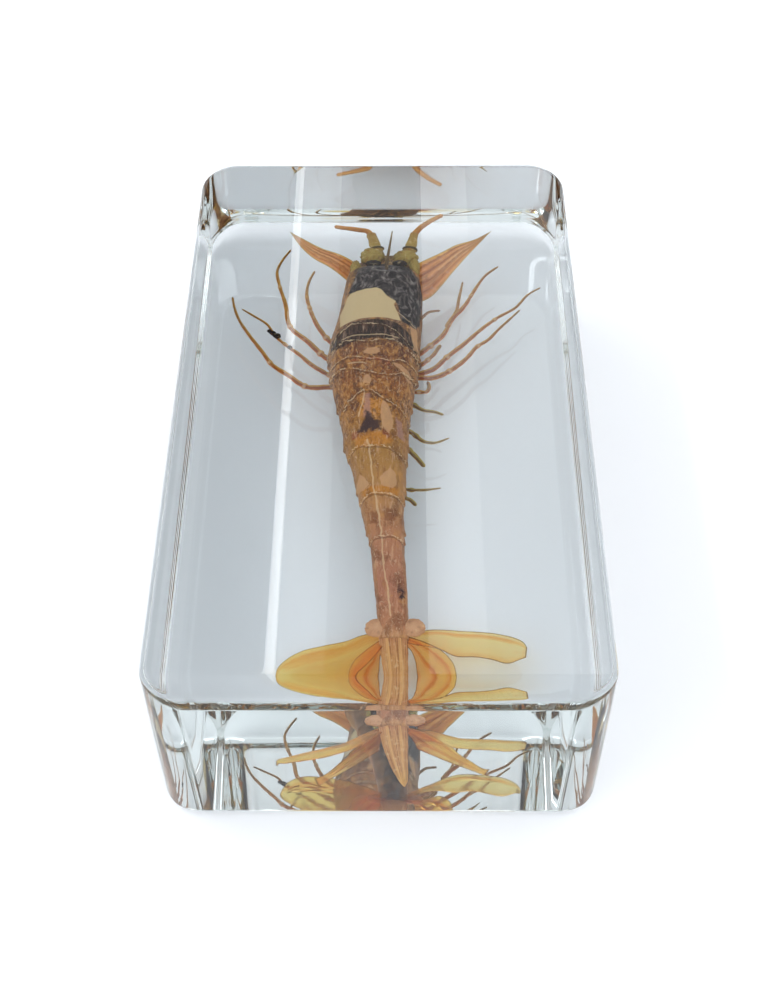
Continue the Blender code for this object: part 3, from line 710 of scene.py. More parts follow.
# Tail fan: the telson, a stiff tapering spike with a groove down its back, between two pairs of
# thin horny blades on short fleshy stalks. Each blade is stiffened by a double midrib and a thick
# dark rim, and has dried cupped. Light comes through it amber.
TELSON_PATH = [(1.9, -34, 9.9), (1.9, -36, 9.6), (2.1, -39, 9), (2.4, -42.5, 8.2), (2.8, -46, 7.4),
               (3.2, -49, 6.7), (3.5, -51.2, 6.2)]
TELSON_HALF_WIDTHS = [(0, 2.1), (0.12, 2.05), (0.35, 1.85), (0.6, 1.4), (0.85, 0.8), (0.96, 0.4),
                      (1, 0.12)]
TELSON_HEIGHT = 0.85
TELSON_ROWS = 160
TELSON_SIDES = 56
# Ribs as shares of the width from the front, bow in mm, front edge and rear edge
TAIL_BLADES = {
    "left_outer": ((0.24, 0.32), 0.3, [
        (1.2, -34.6, 9.2), (-2, -34.5, 7), (-5.2, -34.9, 4.8), (-8.3, -35.2, 3.7), (-11.5, -35.9, 3),
        (-13.4, -37.2, 3.2), (-14.5, -38.9, 4), (-14.9, -40.3, 4.6)], [
        (1.2, -36.6, 9.8), (-2.5, -41.2, 9.3), (-5.5, -43.2, 8.8), (-8.5, -43.8, 7.9),
        (-11.3, -43.4, 6.8), (-13.5, -42.4, 5.6), (-14.5, -41.6, 4.8), (-14.7, -41.5, 4.2)]),
    "right_outer": ((0.14, 0.22), 0.2, [
        (2.9, -34.7, 9.4), (4.7, -34.5, 8.2), (7.6, -33.6, 6.7), (11.4, -33, 4.7), (14.2, -33.1, 4.5),
        (16.9, -33.5, 4.6), (19.1, -34.2, 5), (20.6, -35.4, 5.8), (21, -36.4, 6.3)], [
        (2.9, -36.6, 9.6), (4.6, -36.6, 8), (8.6, -36.8, 6.2), (10.8, -37.8, 5.9), (13.9, -37.8, 5.5),
        (15.6, -38.2, 5.7), (18.3, -39, 6), (20.1, -38.2, 5.7), (20.8, -38, 5.9)]),
    "left_inner": ((0.3, 0.62), 0.25, [
        (1.4, -35.6, 9.8), (-0.3, -36.3, 8.4), (-2.3, -37.4, 6.8), (-3.7, -38.8, 6.4),
        (-4.3, -40.2, 6.6), (-4.5, -41.6, 6.9), (-5.9, -44.1, 6.7), (-7.9, -47.1, 6.1),
        (-9.2, -48.6, 6.3)], [
        (1.4, -36.8, 9.6), (0.3, -37.7, 7.9), (0, -39, 6.9), (-0.1, -41.2, 7.9), (-2.2, -44.6, 8.2),
        (-5, -47.2, 7.1), (-7.4, -48.6, 5.6), (-8.6, -49.9, 5.2)]),
    "right_inner": ((0.3, 0.62), 0.25, [
        (2.8, -35.6, 9.9), (6.6, -36.6, 8.8), (9.1, -37.5, 7.1), (10.4, -39.4, 7.2), (10.9, -41.6, 7.9),
        (12.6, -44.7, 8.2), (14.6, -47.5, 8.2), (15.3, -48.6, 8.9)], [
        (2.8, -36.9, 9.7), (4.4, -37.8, 8.4), (5, -39.4, 8.1), (5.3, -41.8, 8.9), (7.8, -45, 9.3),
        (10.8, -47.4, 9), (13.3, -48.5, 8.1), (14.7, -49.9, 8.2)]),
}
# Middle, radii and roughness
TAIL_STALKS = [
    ((-0.5, -34.7, 10.1), (1.6, 1.5, 0.65), 0.12), ((4.8, -34.7, 10.2), (1.65, 1.5, 0.65), 0.12)]
BLADE_THICKNESS = 0.22
BLADE_ROWS = 110
BLADE_COLUMNS = 44
BLADE_WAVE = 0.06
BLADE_RAYS = 11
RIB_WIDTH = 0.022
RIB_HEIGHT = 0.16


def path_through(points, count):
    """Evenly spread points on a smooth curve through the given ones."""
    points = np.asarray(points, dtype=float)
    run = np.concatenate([[0], np.cumsum(np.linalg.norm(np.diff(points, axis=0), axis=1))])
    return smooth_table(np.column_stack([run, points]), np.linspace(0, run[-1], count))


def both_sides(upper, lower):
    """Once round a leaf: over its upper side and back under its lower one."""
    return np.concatenate([upper, lower[:, -2:0:-1]], axis=1)


def blade_skin(ribs, bow, front, rear):
    """A thin leaf between two edge curves: straight across from one to the other, bowed upwards
    in a parabola, thickened on its ribs and rays and rounded off at both edges."""
    v = (1 - np.cos(np.linspace(0, math.pi, BLADE_COLUMNS)))[None, :] / 2
    u = np.linspace(0, 1, BLADE_ROWS)[:, None]
    first, last = path_through(front, BLADE_ROWS), path_through(rear, BLADE_ROWS)
    flat = first[:, None] * (1 - v[..., None]) + last[:, None] * v[..., None]
    upward = unit(np.cross(np.gradient(flat, axis=0), (last - first)[:, None] + 1e-6))
    upward *= np.sign(upward[..., 2:].mean())
    arch = 4 * v * (1 - v)
    flat = flat + upward * (bow * arch * np.sin(math.pi * np.clip(u, 0.04, 0.96)))[..., None]
    flat = flat + upward * (BLADE_WAVE * uneven(flat, 1.5))[..., None]
    rib = np.max([np.exp(-((v - place - 0.05 * (1 - u)) / RIB_WIDTH) ** 2) for place in ribs], axis=0)
    rib = rib * step_up(1 - u, 0.04, 0.2)
    rays = np.cos(2 * math.pi * BLADE_RAYS * v + 1.2 * uneven(flat, 3.0)) * arch
    half = BLADE_THICKNESS / 2 * np.maximum(arch, 0) ** 0.4 * (1 + 0.12 * rays) + RIB_HEIGHT * rib * arch
    thick = upward * half[..., None]
    width = np.linalg.norm(last - first, axis=1)[:, None]
    edge = np.minimum(np.minimum(v, 1 - v) * width, (1 - u) * np.linalg.norm(first[-1] - first[0]))
    return closed_surface(both_sides(flat + thick, flat - thick), rib=both_sides(rib, rib),
                          edge=both_sides(edge, edge), along=u, across=both_sides(v, v))


def telson_skin():
    """Flattened ellipses along a falling path, with a groove down the back between two ridges."""
    centre = path_through(TELSON_PATH, TELSON_ROWS)
    u = np.linspace(0, 1, TELSON_ROWS)[:, None]
    half = smooth_table(TELSON_HALF_WIDTHS, u)[..., 0]
    turn = round_turn(TELSON_SIDES)
    across, upward = np.cos(turn), np.sin(turn)
    height = TELSON_HEIGHT * (1 - 0.75 * u) * np.where(upward > 0, 1, 0.7)
    groove = 0.3 * np.exp(-(across / 0.16) ** 2) * (upward > 0) * step_up(u, 0.02, 0.2)
    ridge = 0.16 * np.exp(-((np.abs(across) - 0.45) / 0.14) ** 2) * (upward > 0)
    level = np.zeros((TELSON_ROWS, TELSON_SIDES))
    outward = np.stack([across + level, level, upward + level], axis=-1)
    grid = centre[:, None] + np.stack([half * across, level, height * (upward - groove + ridge)], axis=-1)
    grid = grid + 0.05 * uneven(grid, 0.8)[..., None] * outward
    rib = np.exp(-((np.abs(across) - 0.45) / 0.12) ** 2) * (upward > 0)
    edge = (1 - np.abs(across)) * half + (upward < 0) * 0.6
    return closed_surface(grid, rib=rib, edge=edge, along=u, across=across / 2 + 0.5)


def pebble_skin(middle, radii, rough=0.05):
    """An ellipsoid with an uneven surface: a ball's points times its radii."""
    polar = np.linspace(0.05, math.pi - 0.05, 36)[:, None]
    turn = round_turn(48)
    around = [np.sin(polar) * np.cos(turn), np.sin(polar) * np.sin(turn), np.cos(polar) + 0 * turn]
    ball = np.stack(around, axis=-1)
    swell = 1 + rough * uneven(ball * max(radii), 0.35)[..., None]
    return closed_surface(np.array(middle) + np.array(radii) * ball * swell, along=polar / math.pi,
                          across=turn / 2 / math.pi)


# Light lost in the horn: about half of the blue and an eighth of the green in half a millimetre
HORN_DEPTH_COLOUR = "#FFEA00"
HORN_PER_METRE = 1500.0
BLADE_CLEARNESS = 0.85
# Horn sits in resin of nearly its own index, so it hardly bends the light
HORN_INDEX = 1.05


def painted_material(name, stops, layers, roughness, bump, lengthwise=0.0, bands=None, outline=None,
                     clearness=0.0):
    """Chitin whose ground colour follows the part's length. Bands across it, lengthwise streaks,
    blotches and fretted layers lie over that, and a dark line runs along its rim. Clearness is
    the share of light that passes through, and horn clearer than one half tints it amber."""
    material, tree = new_material(name)
    place = add_node(tree, "TexCoord").outputs["Object"]
    along, across = [add_node(tree, "Attribute", {"attribute_name": attribute}).outputs["Fac"]
                     for attribute in ("along", "across")]
    ground = add_node(tree, "ValToRGB", {"stops": stops}, Fac=along).outputs["Color"]
    fret = noise_of(tree, place, (0.9, 0.9, 0.9))
    if bands:
        waver = add_node(tree, "Math", {"operation": "MULTIPLY_ADD"}, in0=fret, in1=0.16, in2=across)
        shift = add_node(tree, "Math", {"operation": "SUBTRACT"}, in0=waver.outputs[0], in1=0.08)
        band = add_node(tree, "ValToRGB", {"stops": bands}, Fac=shift.outputs[0])
        ground = add_node(tree, "Mix", {"data_type": "RGBA", "blend_type": "MULTIPLY"}, in0=1.0,
                          in6=ground, in7=band.outputs["Color"]).outputs[2]
    lengths = add_node(tree, "CombineXYZ", X=along, Y=across)
    drawn = add_node(tree, "Mapping", Vector=lengths.outputs[0], Scale=(2.2, 22.0, 1.0))
    grain = add_node(tree, "TexNoise", Vector=drawn.outputs[0], Scale=1.0, Detail=3.0,
                     Roughness=0.6).outputs["Fac"]
    streak_code, blotch_code = ("#FFAC50", "#FFC074") if clearness > 0.5 else ("#8A4714", "#7C4218")
    for noise, low, high, code, strength in (
            (grain, 0.5, 0.68, streak_code, lengthwise), (grain, 0.46, 0.3, "#FFE3A8", 0.6 * lengthwise),
            (fret, 0.54, 0.72, blotch_code, 0.4), (fret, 0.45, 0.3, "#F8DCA8", 0.3)):
        ground = toned(tree, ground, noise, low, high, code, strength)
    ground = layered_colour(tree, ground, layers, fret)
    if outline:
        edge = add_node(tree, "Attribute", {"attribute_name": "edge"}).outputs["Fac"]
        ground = toned(tree, ground, edge, 0.2, 0.07, outline, 0.85)
    relief = add_node(tree, "Bump", Height=fret, Strength=bump, Distance=0.1 * MM)
    coat = add_node(tree, "BsdfPrincipled", Base_Color=ground, Roughness=roughness,
                    Specular_IOR_Level=0.08, IOR=HORN_INDEX if clearness else 1.5,
                    Transmission_Weight=clearness, Normal=relief.outputs[0])
    end = add_node(tree, "OutputMaterial", Surface=coat.outputs[0])
    if clearness > 0.5:
        amber = add_node(tree, "VolumeAbsorption", Color=linear(HORN_DEPTH_COLOUR), Density=HORN_PER_METRE)
        tree.links.new(amber.outputs[0], end.inputs["Volume"])
    return material


# amber horn of the tail blades: thin and see-through, darker on its ribs and along its rim
FLANK_BANDS = [
    (0, "#FFE4A0"), (0.08, "#FFF8D8"), (0.18, "#FFD48C"), (0.28, "#FFF8D4"), (0.5, "#FFFAE0"),
    (0.75, "#FFF4D0"), (0.92, "#FFE4B0"), (1, "#FFD080")]
CURVED_BANDS = [
    (0, "#FFF6C0"), (0.16, "#FFF4C0"), (0.24, "#F8B060"), (0.32, "#FFF0BC"), (0.54, "#FFECB8"),
    (0.61, "#F0A050"), (0.7, "#FFE4B8"), (0.9, "#FFF0D8"), (1, "#FFCC94")]
# Material name, bands across, strength of the streaks and ground colours by length
TAIL_HORNS = {
    "left_outer": ("deep_amber_horn", FLANK_BANDS, 0.5, [
        (0, "#FFC078"), (0.16, "#FFDC98"), (0.4, "#FFECAC"), (0.8, "#FFF4BC"), (1, "#FFF8D4")]),
    "right_outer": ("pale_amber_horn", FLANK_BANDS, 0.2, [
        (0, "#FFD09C"), (0.2, "#FFE8B8"), (0.5, "#FFF8D4"), (0.85, "#FFFAE4"), (1, "#FCF8E4")]),
    "left_inner": ("banded_amber_horn", CURVED_BANDS, 0.3, [
        (0, "#FFC890"), (0.25, "#FFE0A4"), (0.7, "#FFECB0"), (1, "#FFF0BC")]),
}
horns = {}
for blade, (name, bands, lengthwise, stops) in TAIL_HORNS.items():
    horns[blade] = painted_material(name, stops, [("rib", "#FF9C40", 0.5, 0.25)], 0.12, 0.3, lengthwise,
                                    bands, outline="#8A5C20", clearness=BLADE_CLEARNESS)
horns["right_inner"] = horns["left_inner"]
# horn too thick to let light through: the ridged spike, and the stalks, which are paler flesh
SPIKE_TONES = [(0, "#C08058"), (0.3, "#CA8E52"), (0.7, "#C88A4C"), (1, "#E0A850")]
SPIKE_LAYERS = [("rib", "#ECB870", 0.5, 0.5)]
ridged_horn = painted_material("ridged_tail_spike", SPIKE_TONES, SPIKE_LAYERS, 0.4, 0.7, 0.95)
KNUCKLE_TONES = [(0, "#D8A47C"), (0.5, "#CC9468"), (1, "#B88058")]
fleshy_stalk = painted_material("fleshy_fin_stalk", KNUCKLE_TONES, [], 0.45, 0.5, 0.2)
fan = [shell_piece(part + "_blade", [blade_skin(*TAIL_BLADES[part])], horns[part]) for part in TAIL_BLADES]
spike = shell_piece("telson", [telson_skin()], ridged_horn)
knuckles = shell_piece("fin_stalks", [pebble_skin(*stalk) for stalk in TAIL_STALKS], fleshy_stalk)
join_shrimp(*fan, spike, knuckles)

# Antennal scales: a pair of long stiff triangular blades beside the head that steer the living
# shrimp. Dried orange, streaked lengthwise, broad where they leave the head and sharp at the tip.
ANTENNAL_SCALES = {
    "left": ((0.3, 0.62), 0.3, [
        (-3.6, 36.6, 14.3), (-4.6, 38.1, 14.2), (-6.9, 40.3, 13.8), (-10.6, 42.4, 13.4),
        (-15, 45.9, 12.9), (-16.4, 47.1, 12.6)], [
        (-4.6, 32.2, 13.6), (-5.8, 33.8, 13.6), (-9.2, 37.6, 13.4), (-11.9, 39.9, 13.1),
        (-14.2, 42.9, 12.8), (-16.4, 47.1, 12.6)]),
    "right": ((0.3, 0.62), 0.3, [
        (5.2, 37.2, 14.5), (7.5, 38.9, 14.4), (10.4, 41, 14.1), (12.8, 43, 13.7), (15.8, 44.4, 13.4),
        (19.1, 46.9, 13)], [
        (5.9, 28.6, 13.4), (8.3, 30.3, 13.4), (10, 32.8, 13.3), (12, 36.2, 13.2), (14.2, 39.7, 13.1),
        (19.1, 46.9, 13)]),
}
# dried orange horn, less clear than the tail's, with dark and light streaks side by side
SCALE_BANDS = [
    (0, "#F4F4A0"), (0.08, "#F8F0A8"), (0.14, "#B87840"), (0.24, "#FFE4B4"), (0.36, "#C08048"),
    (0.46, "#FFF4D8"), (0.56, "#B8783C"), (0.66, "#FFECC4"), (0.78, "#CC8C50"), (0.88, "#FFE8C4"),
    (1, "#F0E0B0")]
SCALE_TONES = [(0, "#E8A45C"), (0.4, "#F8C480"), (0.8, "#F4CC90"), (1, "#C0AC70")]
SCALE_LAYERS = [("rib", "#A86030", 0.6, 0.3)]
orange_scale = painted_material("streaked_orange_scale", SCALE_TONES, SCALE_LAYERS, 0.3, 0.5, 0.5,
                                SCALE_BANDS, outline="#B8A458", clearness=0.5)
scale_skins = [blade_skin(*scale) for scale in ANTENNAL_SCALES.values()]
scales = shell_piece("antennal_scales", scale_skins, orange_scale)
join_shrimp(scales)

# Limbs: jointed tubes of thin shell, dried in the pose in which the shrimp was laid out. The
# walking legs spread from under the carapace, and the mouth limbs fold below the head.
# Radius at the base and at the tip, joints as shares of the length, and points along the middle
WALKING_LEGS = {
    "left_1": (0.6, 0.2, (0.3, 0.62), [
        (-3.4, 19, 8.6), (-6.2, 20.6, 8.9), (-8.5, 22.1, 9), (-10.6, 25.3, 9), (-12.3, 29.8, 9),
        (-13, 33.9, 9), (-12.7, 36.4, 9), (-11.8, 39.1, 9)]),
    "left_2": (0.62, 0.2, (0.22, 0.45, 0.72), [
        (-3.6, 15.4, 8.6), (-6.4, 16.7, 8.9), (-9.1, 18.4, 9), (-12.4, 22.2, 9), (-15.3, 25.3, 9),
        (-16.6, 31.3, 9), (-17.7, 35.2, 9), (-18.3, 39.4, 9), (-17.6, 41.7, 9), (-16.2, 44.5, 9)]),
    "left_3": (0.52, 0.16, (0.2, 0.58), [
        (-3.6, 12.6, 8.6), (-6.2, 13.6, 8.9), (-8.5, 14.6, 9), (-11, 16.4, 9), (-14.3, 19.8, 9),
        (-15.3, 20.7, 9), (-17.9, 23.5, 9), (-19.3, 26, 9), (-22.1, 28.4, 9), (-23.9, 29.8, 9)]),
    "left_4": (0.6, 0.2, (0.27, 0.5), [
        (-3.4, 11.6, 8.6), (-5.8, 11.9, 8.9), (-8.2, 12, 9), (-12, 12, 9), (-15.7, 14.9, 9),
        (-17.8, 16.6, 9), (-20.1, 20.2, 9), (-22.3, 23.7, 9), (-24.2, 27.2, 9), (-25.3, 30.5, 9),
        (-25.7, 32.7, 9)]),
    "right_1": (0.62, 0.18, (0.3, 0.55), [
        (2.8, 16.4, 8.6), (4.6, 18, 8.9), (6.2, 19.3, 9), (7.8, 20.9, 9), (10.1, 23.5, 9),
        (11.8, 27.4, 9), (12.7, 29.6, 9), (13.1, 32, 9), (13.9, 36.4, 9)]),
    "right_1_claw": (0.5, 0.18, (0.5,), [
        (10.9, 25.4, 9), (11.8, 27.4, 9), (13.9, 30.3, 9), (16, 34.6, 9), (18, 38.1, 9),
        (20.2, 40.2, 9)]),
    "right_2": (0.55, 0.3, (0.6,), [
        (2.6, 14.6, 8.6), (4.4, 15.6, 8.9), (6.1, 16.6, 9), (8, 18.4, 9), (9.8, 21.4, 9)]),
    "right_3": (0.58, 0.16, (0.3, 0.66), [
        (2.6, 13.2, 8.7), (4.2, 13.9, 8.9), (5.6, 14.6, 9), (8.3, 15.8, 9), (11, 18.9, 9),
        (13.3, 21.2, 9), (16.8, 25.1, 9), (19.4, 27.6, 9), (22.6, 30, 9), (25.2, 33.4, 9),
        (27.2, 34.9, 9)]),
    "right_4": (0.62, 0.16, (0.33, 0.6), [
        (2.6, 12.6, 8.5), (4.2, 13.5, 8.7), (5.6, 14, 8.8), (8.4, 14.1, 8.8), (11.2, 15.6, 8.9),
        (14.1, 18.5, 8.9), (16, 21.2, 8.9), (17.2, 22.1, 8.9), (19.7, 25.1, 9), (23.4, 29.5, 9)]),
    "right_5": (0.42, 0.28, (0.5,), [
        (2.4, 10.6, 8.6), (4.2, 10.8, 8.7), (5.8, 11, 8.8), (7.4, 11.1, 8.8), (7.7, 12.2, 8.8),
        (7.5, 13.3, 8.8)]),
}
# Middle, radii and roughness of the black clots of dried flesh on the third left leg
LEG_CLOTS = [
    ((-17.6, 23.3, 9.3), (0.65, 0.6, 0.45), 0.25), ((-18.3, 23.95, 9.25), (0.55, 0.5, 0.4), 0.2),
    ((-18.9, 24.5, 9.2), (0.4, 0.4, 0.35), 0.15), ((-15.3, 20.7, 9.3), (0.4, 0.45, 0.3), 0.2)]
MOUTH_LIMBS = {
    "hook": (0.5, 0.2, (0.4,), [
        (4, 25, 9.8), (5.8, 26.4, 9.2), (6.9, 27.9, 9), (8, 29.1, 9), (8.8, 29.3, 9), (9.9, 29.4, 9)]),
    "outer_left": (0.85, 0.35, (0.35, 0.7), [
        (-2.2, 21, 8), (-2.8, 26, 7.2), (-2.4, 31, 7.2), (-1.2, 35.5, 8.6)]),
    "outer_right": (0.85, 0.35, (0.35, 0.7), [
        (2.4, 21, 8), (3.2, 26, 7.2), (3.2, 31, 7.2), (2.8, 35.5, 8.6)]),
    "inner_left": (0.7, 0.3, (0.5,), [
        (-0.8, 23, 7.6), (-1, 27, 6.9), (-0.4, 31.5, 7.4), (0.2, 34.5, 8.8)]),
    "inner_right": (0.7, 0.3, (0.5,), [
        (1.2, 23, 7.6), (1.6, 27, 6.9), (1.4, 31.5, 7.4), (1.2, 34.5, 8.8)]),
}
LIMB_SIDES = 14
ROWS_PER_MM = 5
LIMB_CAP = 0.35
# A joint's swelling as a share of the radius, how far it runs and how far off its waists are
JOINT_SWELL = 0.3
JOINT_RUN = 0.35
WAIST_GAP = 1.9


def limb_skin(base, tip, joints, points, flat=1.0, rough=0.05):
    """Rings along a smooth path, tapering from base to tip and rounded off at both ends. Each
    joint is a short swelling with a narrow waist before and after it."""
    length = np.linalg.norm(np.diff(np.asarray(points, dtype=float), axis=0), axis=1).sum()
    rows = max(12, round(length * ROWS_PER_MM))
    centre = path_through(points, rows)
    run = np.linspace(0, length, rows)[:, None]
    ahead = unit(np.gradient(centre, axis=0))
    aside = unit(np.cross(ahead, (0, 0, 1)))
    above = np.cross(aside, ahead)
    turn = round_turn(LIMB_SIDES)
    radius = base + (tip - base) * (run / length) ** 0.85
    joint = np.zeros(run.shape)
    for place in joints:
        gap = (run - place * length) / JOINT_RUN
        joint = np.maximum(joint, np.exp(-gap ** 2))
        waist = np.exp(-(np.abs(gap) - WAIST_GAP) ** 2 / 0.5)
        radius = radius * (1 + JOINT_SWELL * np.exp(-gap ** 2) - 0.5 * JOINT_SWELL * waist)
    end = np.clip(np.minimum(run, length - run) / LIMB_CAP, 0.06, 1)
    radius = radius * np.sqrt(1 - (1 - end) ** 2)
    spoke = np.cos(turn)[..., None] * aside[:, None] + flat * np.sin(turn)[..., None] * above[:, None]
    rings = centre[:, None] + radius[..., None] * spoke
    rings = rings + spoke * (rough * uneven(rings, 0.8) * np.minimum(1, radius / 0.3))[..., None]
    # One paint marks the side towards the head, for a painted yellow fringe of light split by the resin
    return closed_surface(rings, along=run / length, across=np.sin(turn) / 2 + 0.5, joint=joint,
                          far=spoke[..., 1] / 2 + 0.5)


# dried leg shell: orange brown and dull, paler at the joints, with a painted yellow fringe of light on the
# side towards the head
LEG_LAYERS = [("joint", "#DCC09A", 0.5, 0.5), ("far", "#DDB45E", 0.6, 0.5)]
# Round a limb from its lower side through its flanks, at one half, to its upper side
LIMB_BANDS = [(0, "#C89868"), (0.4, "#FFE0B4"), (0.62, "#FFDCA8"), (0.82, "#BC8450"), (1, "#A86C3C")]
LEG_TONES = [(0, "#C0803C"), (0.3, "#D09450"), (0.65, "#D0A060"), (1, "#989060")]
leg_shell = painted_material("dried_leg_shell", LEG_TONES, LEG_LAYERS, 0.5, 0.5, 0.8, LIMB_BANDS)
legs = shell_piece("walking_legs", [limb_skin(*leg) for leg in WALKING_LEGS.values()], leg_shell)
# mouth shell: the same, darker
MOUTH_TONES = [(0, "#7A4628"), (0.5, "#8A5A34"), (1, "#A07848")]
MOUTH_LAYERS = [("joint", "#C8A878", 0.6, 0.3)]
mouth_shell = painted_material("dark_mouth_shell", MOUTH_TONES, MOUTH_LAYERS, 0.55, 0.6, 0.5)
mouth = shell_piece("mouth_limbs", [limb_skin(*limb) for limb in MOUTH_LIMBS.values()], mouth_shell)
# flesh dried black, a little glossy
black_flesh = painted_material("black_dried_eye", [(0, "#1A120E"), (1, "#2A1C12")], [], 0.25, 0.3)
clots = shell_piece("leg_clots", [pebble_skin(*clot) for clot in LEG_CLOTS], black_flesh)
join_shrimp(legs, clots, mouth)

# Swimmerets: five pairs of short soft paddles below the abdomen, dried olive. The right ones are
# swept out beside the body and the left ones are folded under it.
# Radius at the base and at the tip, and points along the middle
SWIMMERETS = {
    "right_1": (0.6, 0.22, [
        (2, 9.6, 8.4), (3.8, 9.1, 8.1), (5.2, 8.6, 8), (6.5, 7.6, 8), (8.6, 7.1, 8), (10, 6.5, 8)]),
    "right_2": (0.62, 0.14, [
        (2, 3.8, 8.4), (3.4, 3.5, 8.1), (4.4, 3.1, 8), (7.1, 0.9, 7.8), (8.2, 0.8, 7.7),
        (10.8, 1.9, 7.5)]),
    "right_3": (0.6, 0.36, [
        (2, 0.6, 8.3), (3.4, 0, 7.9), (4.5, -0.8, 7.6), (5.6, -2.2, 7.6), (6.8, -4, 7.6)]),
    "right_4": (0.5, 0.14, [(1.8, -7.9, 8.2), (3.7, -8.4, 7.6), (6.3, -8.6, 7.6), (9.3, -8.2, 7.6)]),
    "right_5": (0.5, 0.3, [(1.8, -9.6, 8.2), (3.7, -10.1, 7.6), (4.5, -10.5, 7.6), (5.4, -11.6, 7.5)]),
    "left_1": (0.75, 0.35, [(-3.5, 8.6, 8.4), (-4.6, 6.4, 7), (-4.8, 3.2, 6)]),
    "left_2": (0.75, 0.35, [(-3.2, 3.4, 8.2), (-4, 1.2, 6.8), (-4.2, -2, 6)]),
    "left_3": (0.7, 0.35, [(-2.6, -1.6, 8.2), (-3.2, -4, 6.8), (-3.3, -7, 6)]),
    "left_4": (0.65, 0.3, [(-1.4, -7.6, 8.2), (-1.9, -9.8, 6.8), (-1.9, -12.6, 6)]),
    "left_5": (0.55, 0.28, [(-0.6, -13, 8), (-0.7, -15, 6.9), (-0.5, -17.4, 6.3)]),
}
PADDLE_JOINTS = (0.4,)
# dried olive shell, soft and dull, with the same painted fringe of light on the side towards the head
PADDLE_BANDS = [(0, "#B89858"), (0.4, "#FFF4A0"), (0.65, "#FFF0A0"), (0.85, "#9A7444"), (1, "#84603A")]
PADDLE_TONES = [(0, "#A8883C"), (0.5, "#BEA24C"), (1, "#C2AE62")]
paddle_shell = painted_material("dried_paddle_shell", PADDLE_TONES, [("far", "#D8C668", 0.5, 0.5)], 0.5, 0.5,
                                0.6, PADDLE_BANDS)
paddle_skins = [limb_skin(base, tip, PADDLE_JOINTS, points, flat=0.6)
                for base, tip, points in SWIMMERETS.values()]
paddles = shell_piece("swimmerets", paddle_skins, paddle_shell)
join_shrimp(paddles)

# Head: two eyes dried black at the brow, the swollen first joints and the stalks of both
# antennae, whose long whips have broken off to stumps, and the thin saw-edged rostrum between.
ANTENNA_STALKS = {
    "left_stalk": (1.2, 0.85, (0.3,), [
        (-0.7, 39.4, 14.7), (-1, 41.4, 14.6), (-1.5, 43.5, 14.3), (-2, 45.8, 14.1)]),
    "right_stalk": (1.3, 0.7, (0.3,), [
        (4.4, 39.4, 14.7), (4.8, 41.4, 14.6), (5.2, 43.5, 14.4), (5.6, 45.9, 14.2)]),
}
# Middle and radii of the swollen first joints of the antennae, which carry the stalks
ANTENNA_JOINTS = [
    ((-1.75, 39.4, 14.7), (2, 2.2, 1.3)), ((4, 39, 14.8), (2.1, 1.9, 1.3)),
    ((5.5, 36.4, 14.8), (0.95, 2.4, 1.5)), ((-4.5, 36.2, 14.5), (1, 2.2, 1.5))]
WHIP_STUMPS = {
    "left_whip": (0.58, 0.42, (), [
        (-2, 45.2, 14.1), (-2.6, 46.3, 14), (-4.2, 46.9, 13.8), (-6.2, 47.4, 13.6), (-8.5, 48, 13.4)]),
    "right_whip": (0.62, 0.42, (), [
        (5.5, 45.4, 14.1), (6.4, 47, 13.9), (8.2, 49, 13.7), (10.6, 51, 13.5)]),
}
EYES = [((-1.5, 36.5, 16.7), (1.35, 0.85, 0.8)), ((3, 36.5, 16.7), (1.25, 0.85, 0.8))]
ROSTRUM_PATH = [(0.7, 33, 19.3), (0.8, 36, 18), (1.2, 40.2, 17), (1.7, 45.2, 16)]
ROSTRUM_TEETH = 7
ROSTRUM_ROWS = 150


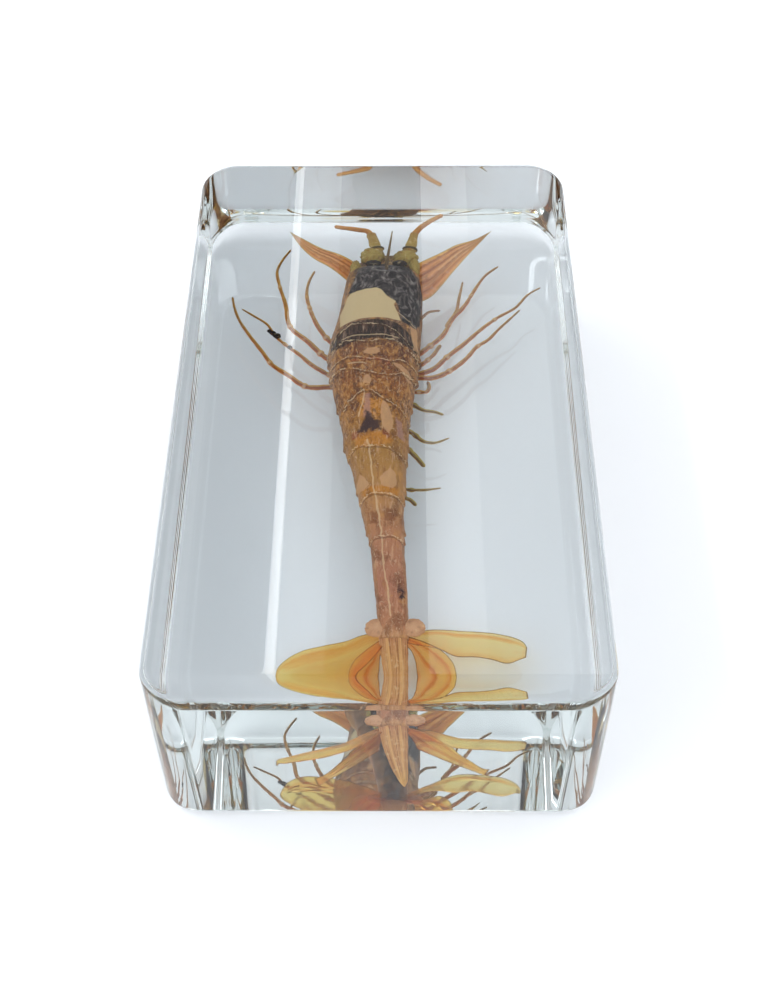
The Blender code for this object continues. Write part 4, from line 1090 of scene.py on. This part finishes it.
def rostrum_skin():
    """A thin upright blade along a falling path, with saw teeth along its upper edge."""
    centre = path_through(ROSTRUM_PATH, ROSTRUM_ROWS)
    u = np.linspace(0, 1, ROSTRUM_ROWS)[:, None]
    turn = round_turn(20)
    saw = (u * ROSTRUM_TEETH) % 1
    tall = (0.75 - 0.6 * u) * (1 + 0.55 * (saw ** 2) * (np.sin(turn) > 0.5))
    wide = 0.4 - 0.3 * u
    rings = centre[:, None] + np.stack([wide * np.cos(turn), 0 * u * turn, tall * np.sin(turn)], axis=-1)
    return closed_surface(rings, along=u, across=np.cos(turn) / 2 + 0.5)


# olive shell of the stalks, dark at their joints
STALK_TONES = [(0, "#8A743A"), (0.5, "#A88C48"), (1, "#A07A3C")]
STALK_LAYERS = [("joint", "#2E2418", 0.85, 0.25)]
stalk_shell = painted_material("olive_stalk_shell", STALK_TONES, STALK_LAYERS, 0.45, 0.5, 0.4)
stalk_skins = [limb_skin(*stalk, flat=0.8, rough=0.12) for stalk in ANTENNA_STALKS.values()]
stalks = shell_piece("antenna_stalks", stalk_skins, stalk_shell)
# the same shell on the swollen joints, with painted shade making them dark below
LOBE_TONES_AND_SHADE = [(0, "#A8924C"), (0.45, "#96803C"), (0.7, "#4E4020"), (1, "#2E2414")]
lobe_shell = painted_material("olive_joint_shell_and_shade", LOBE_TONES_AND_SHADE, [], 0.45, 0.7, 0.6)
lobes = shell_piece("antenna_joints", [pebble_skin(*joint, 0.14) for joint in ANTENNA_JOINTS], lobe_shell)
# orange shell of the whips' stumps, with the same painted fringe of light on the side towards the head
WHIP_TONES = [(0, "#A86A34"), (1, "#C98A4C")]
whip_shell = painted_material("orange_whip_shell", WHIP_TONES, [("far", "#D9A85A", 0.4, 0.5)], 0.5, 0.5, 0.3)
whips = shell_piece("antenna_stumps", [limb_skin(*whip) for whip in WHIP_STUMPS.values()], whip_shell)
eyes = shell_piece("eyes", [pebble_skin(*eye, 0.1) for eye in EYES], black_flesh)
# hard dark brown shell of the rostrum, olive at its tip
BROW_TONES = [(0, "#4A3A28"), (0.5, "#6A5230"), (1, "#7E6A3C")]
brow_shell = painted_material("rostrum_shell", BROW_TONES, [], 0.5, 0.4)
rostrum = shell_piece("rostrum", [rostrum_skin()], brow_shell)
join_shrimp(stalks, lobes, whips, eyes, rostrum)
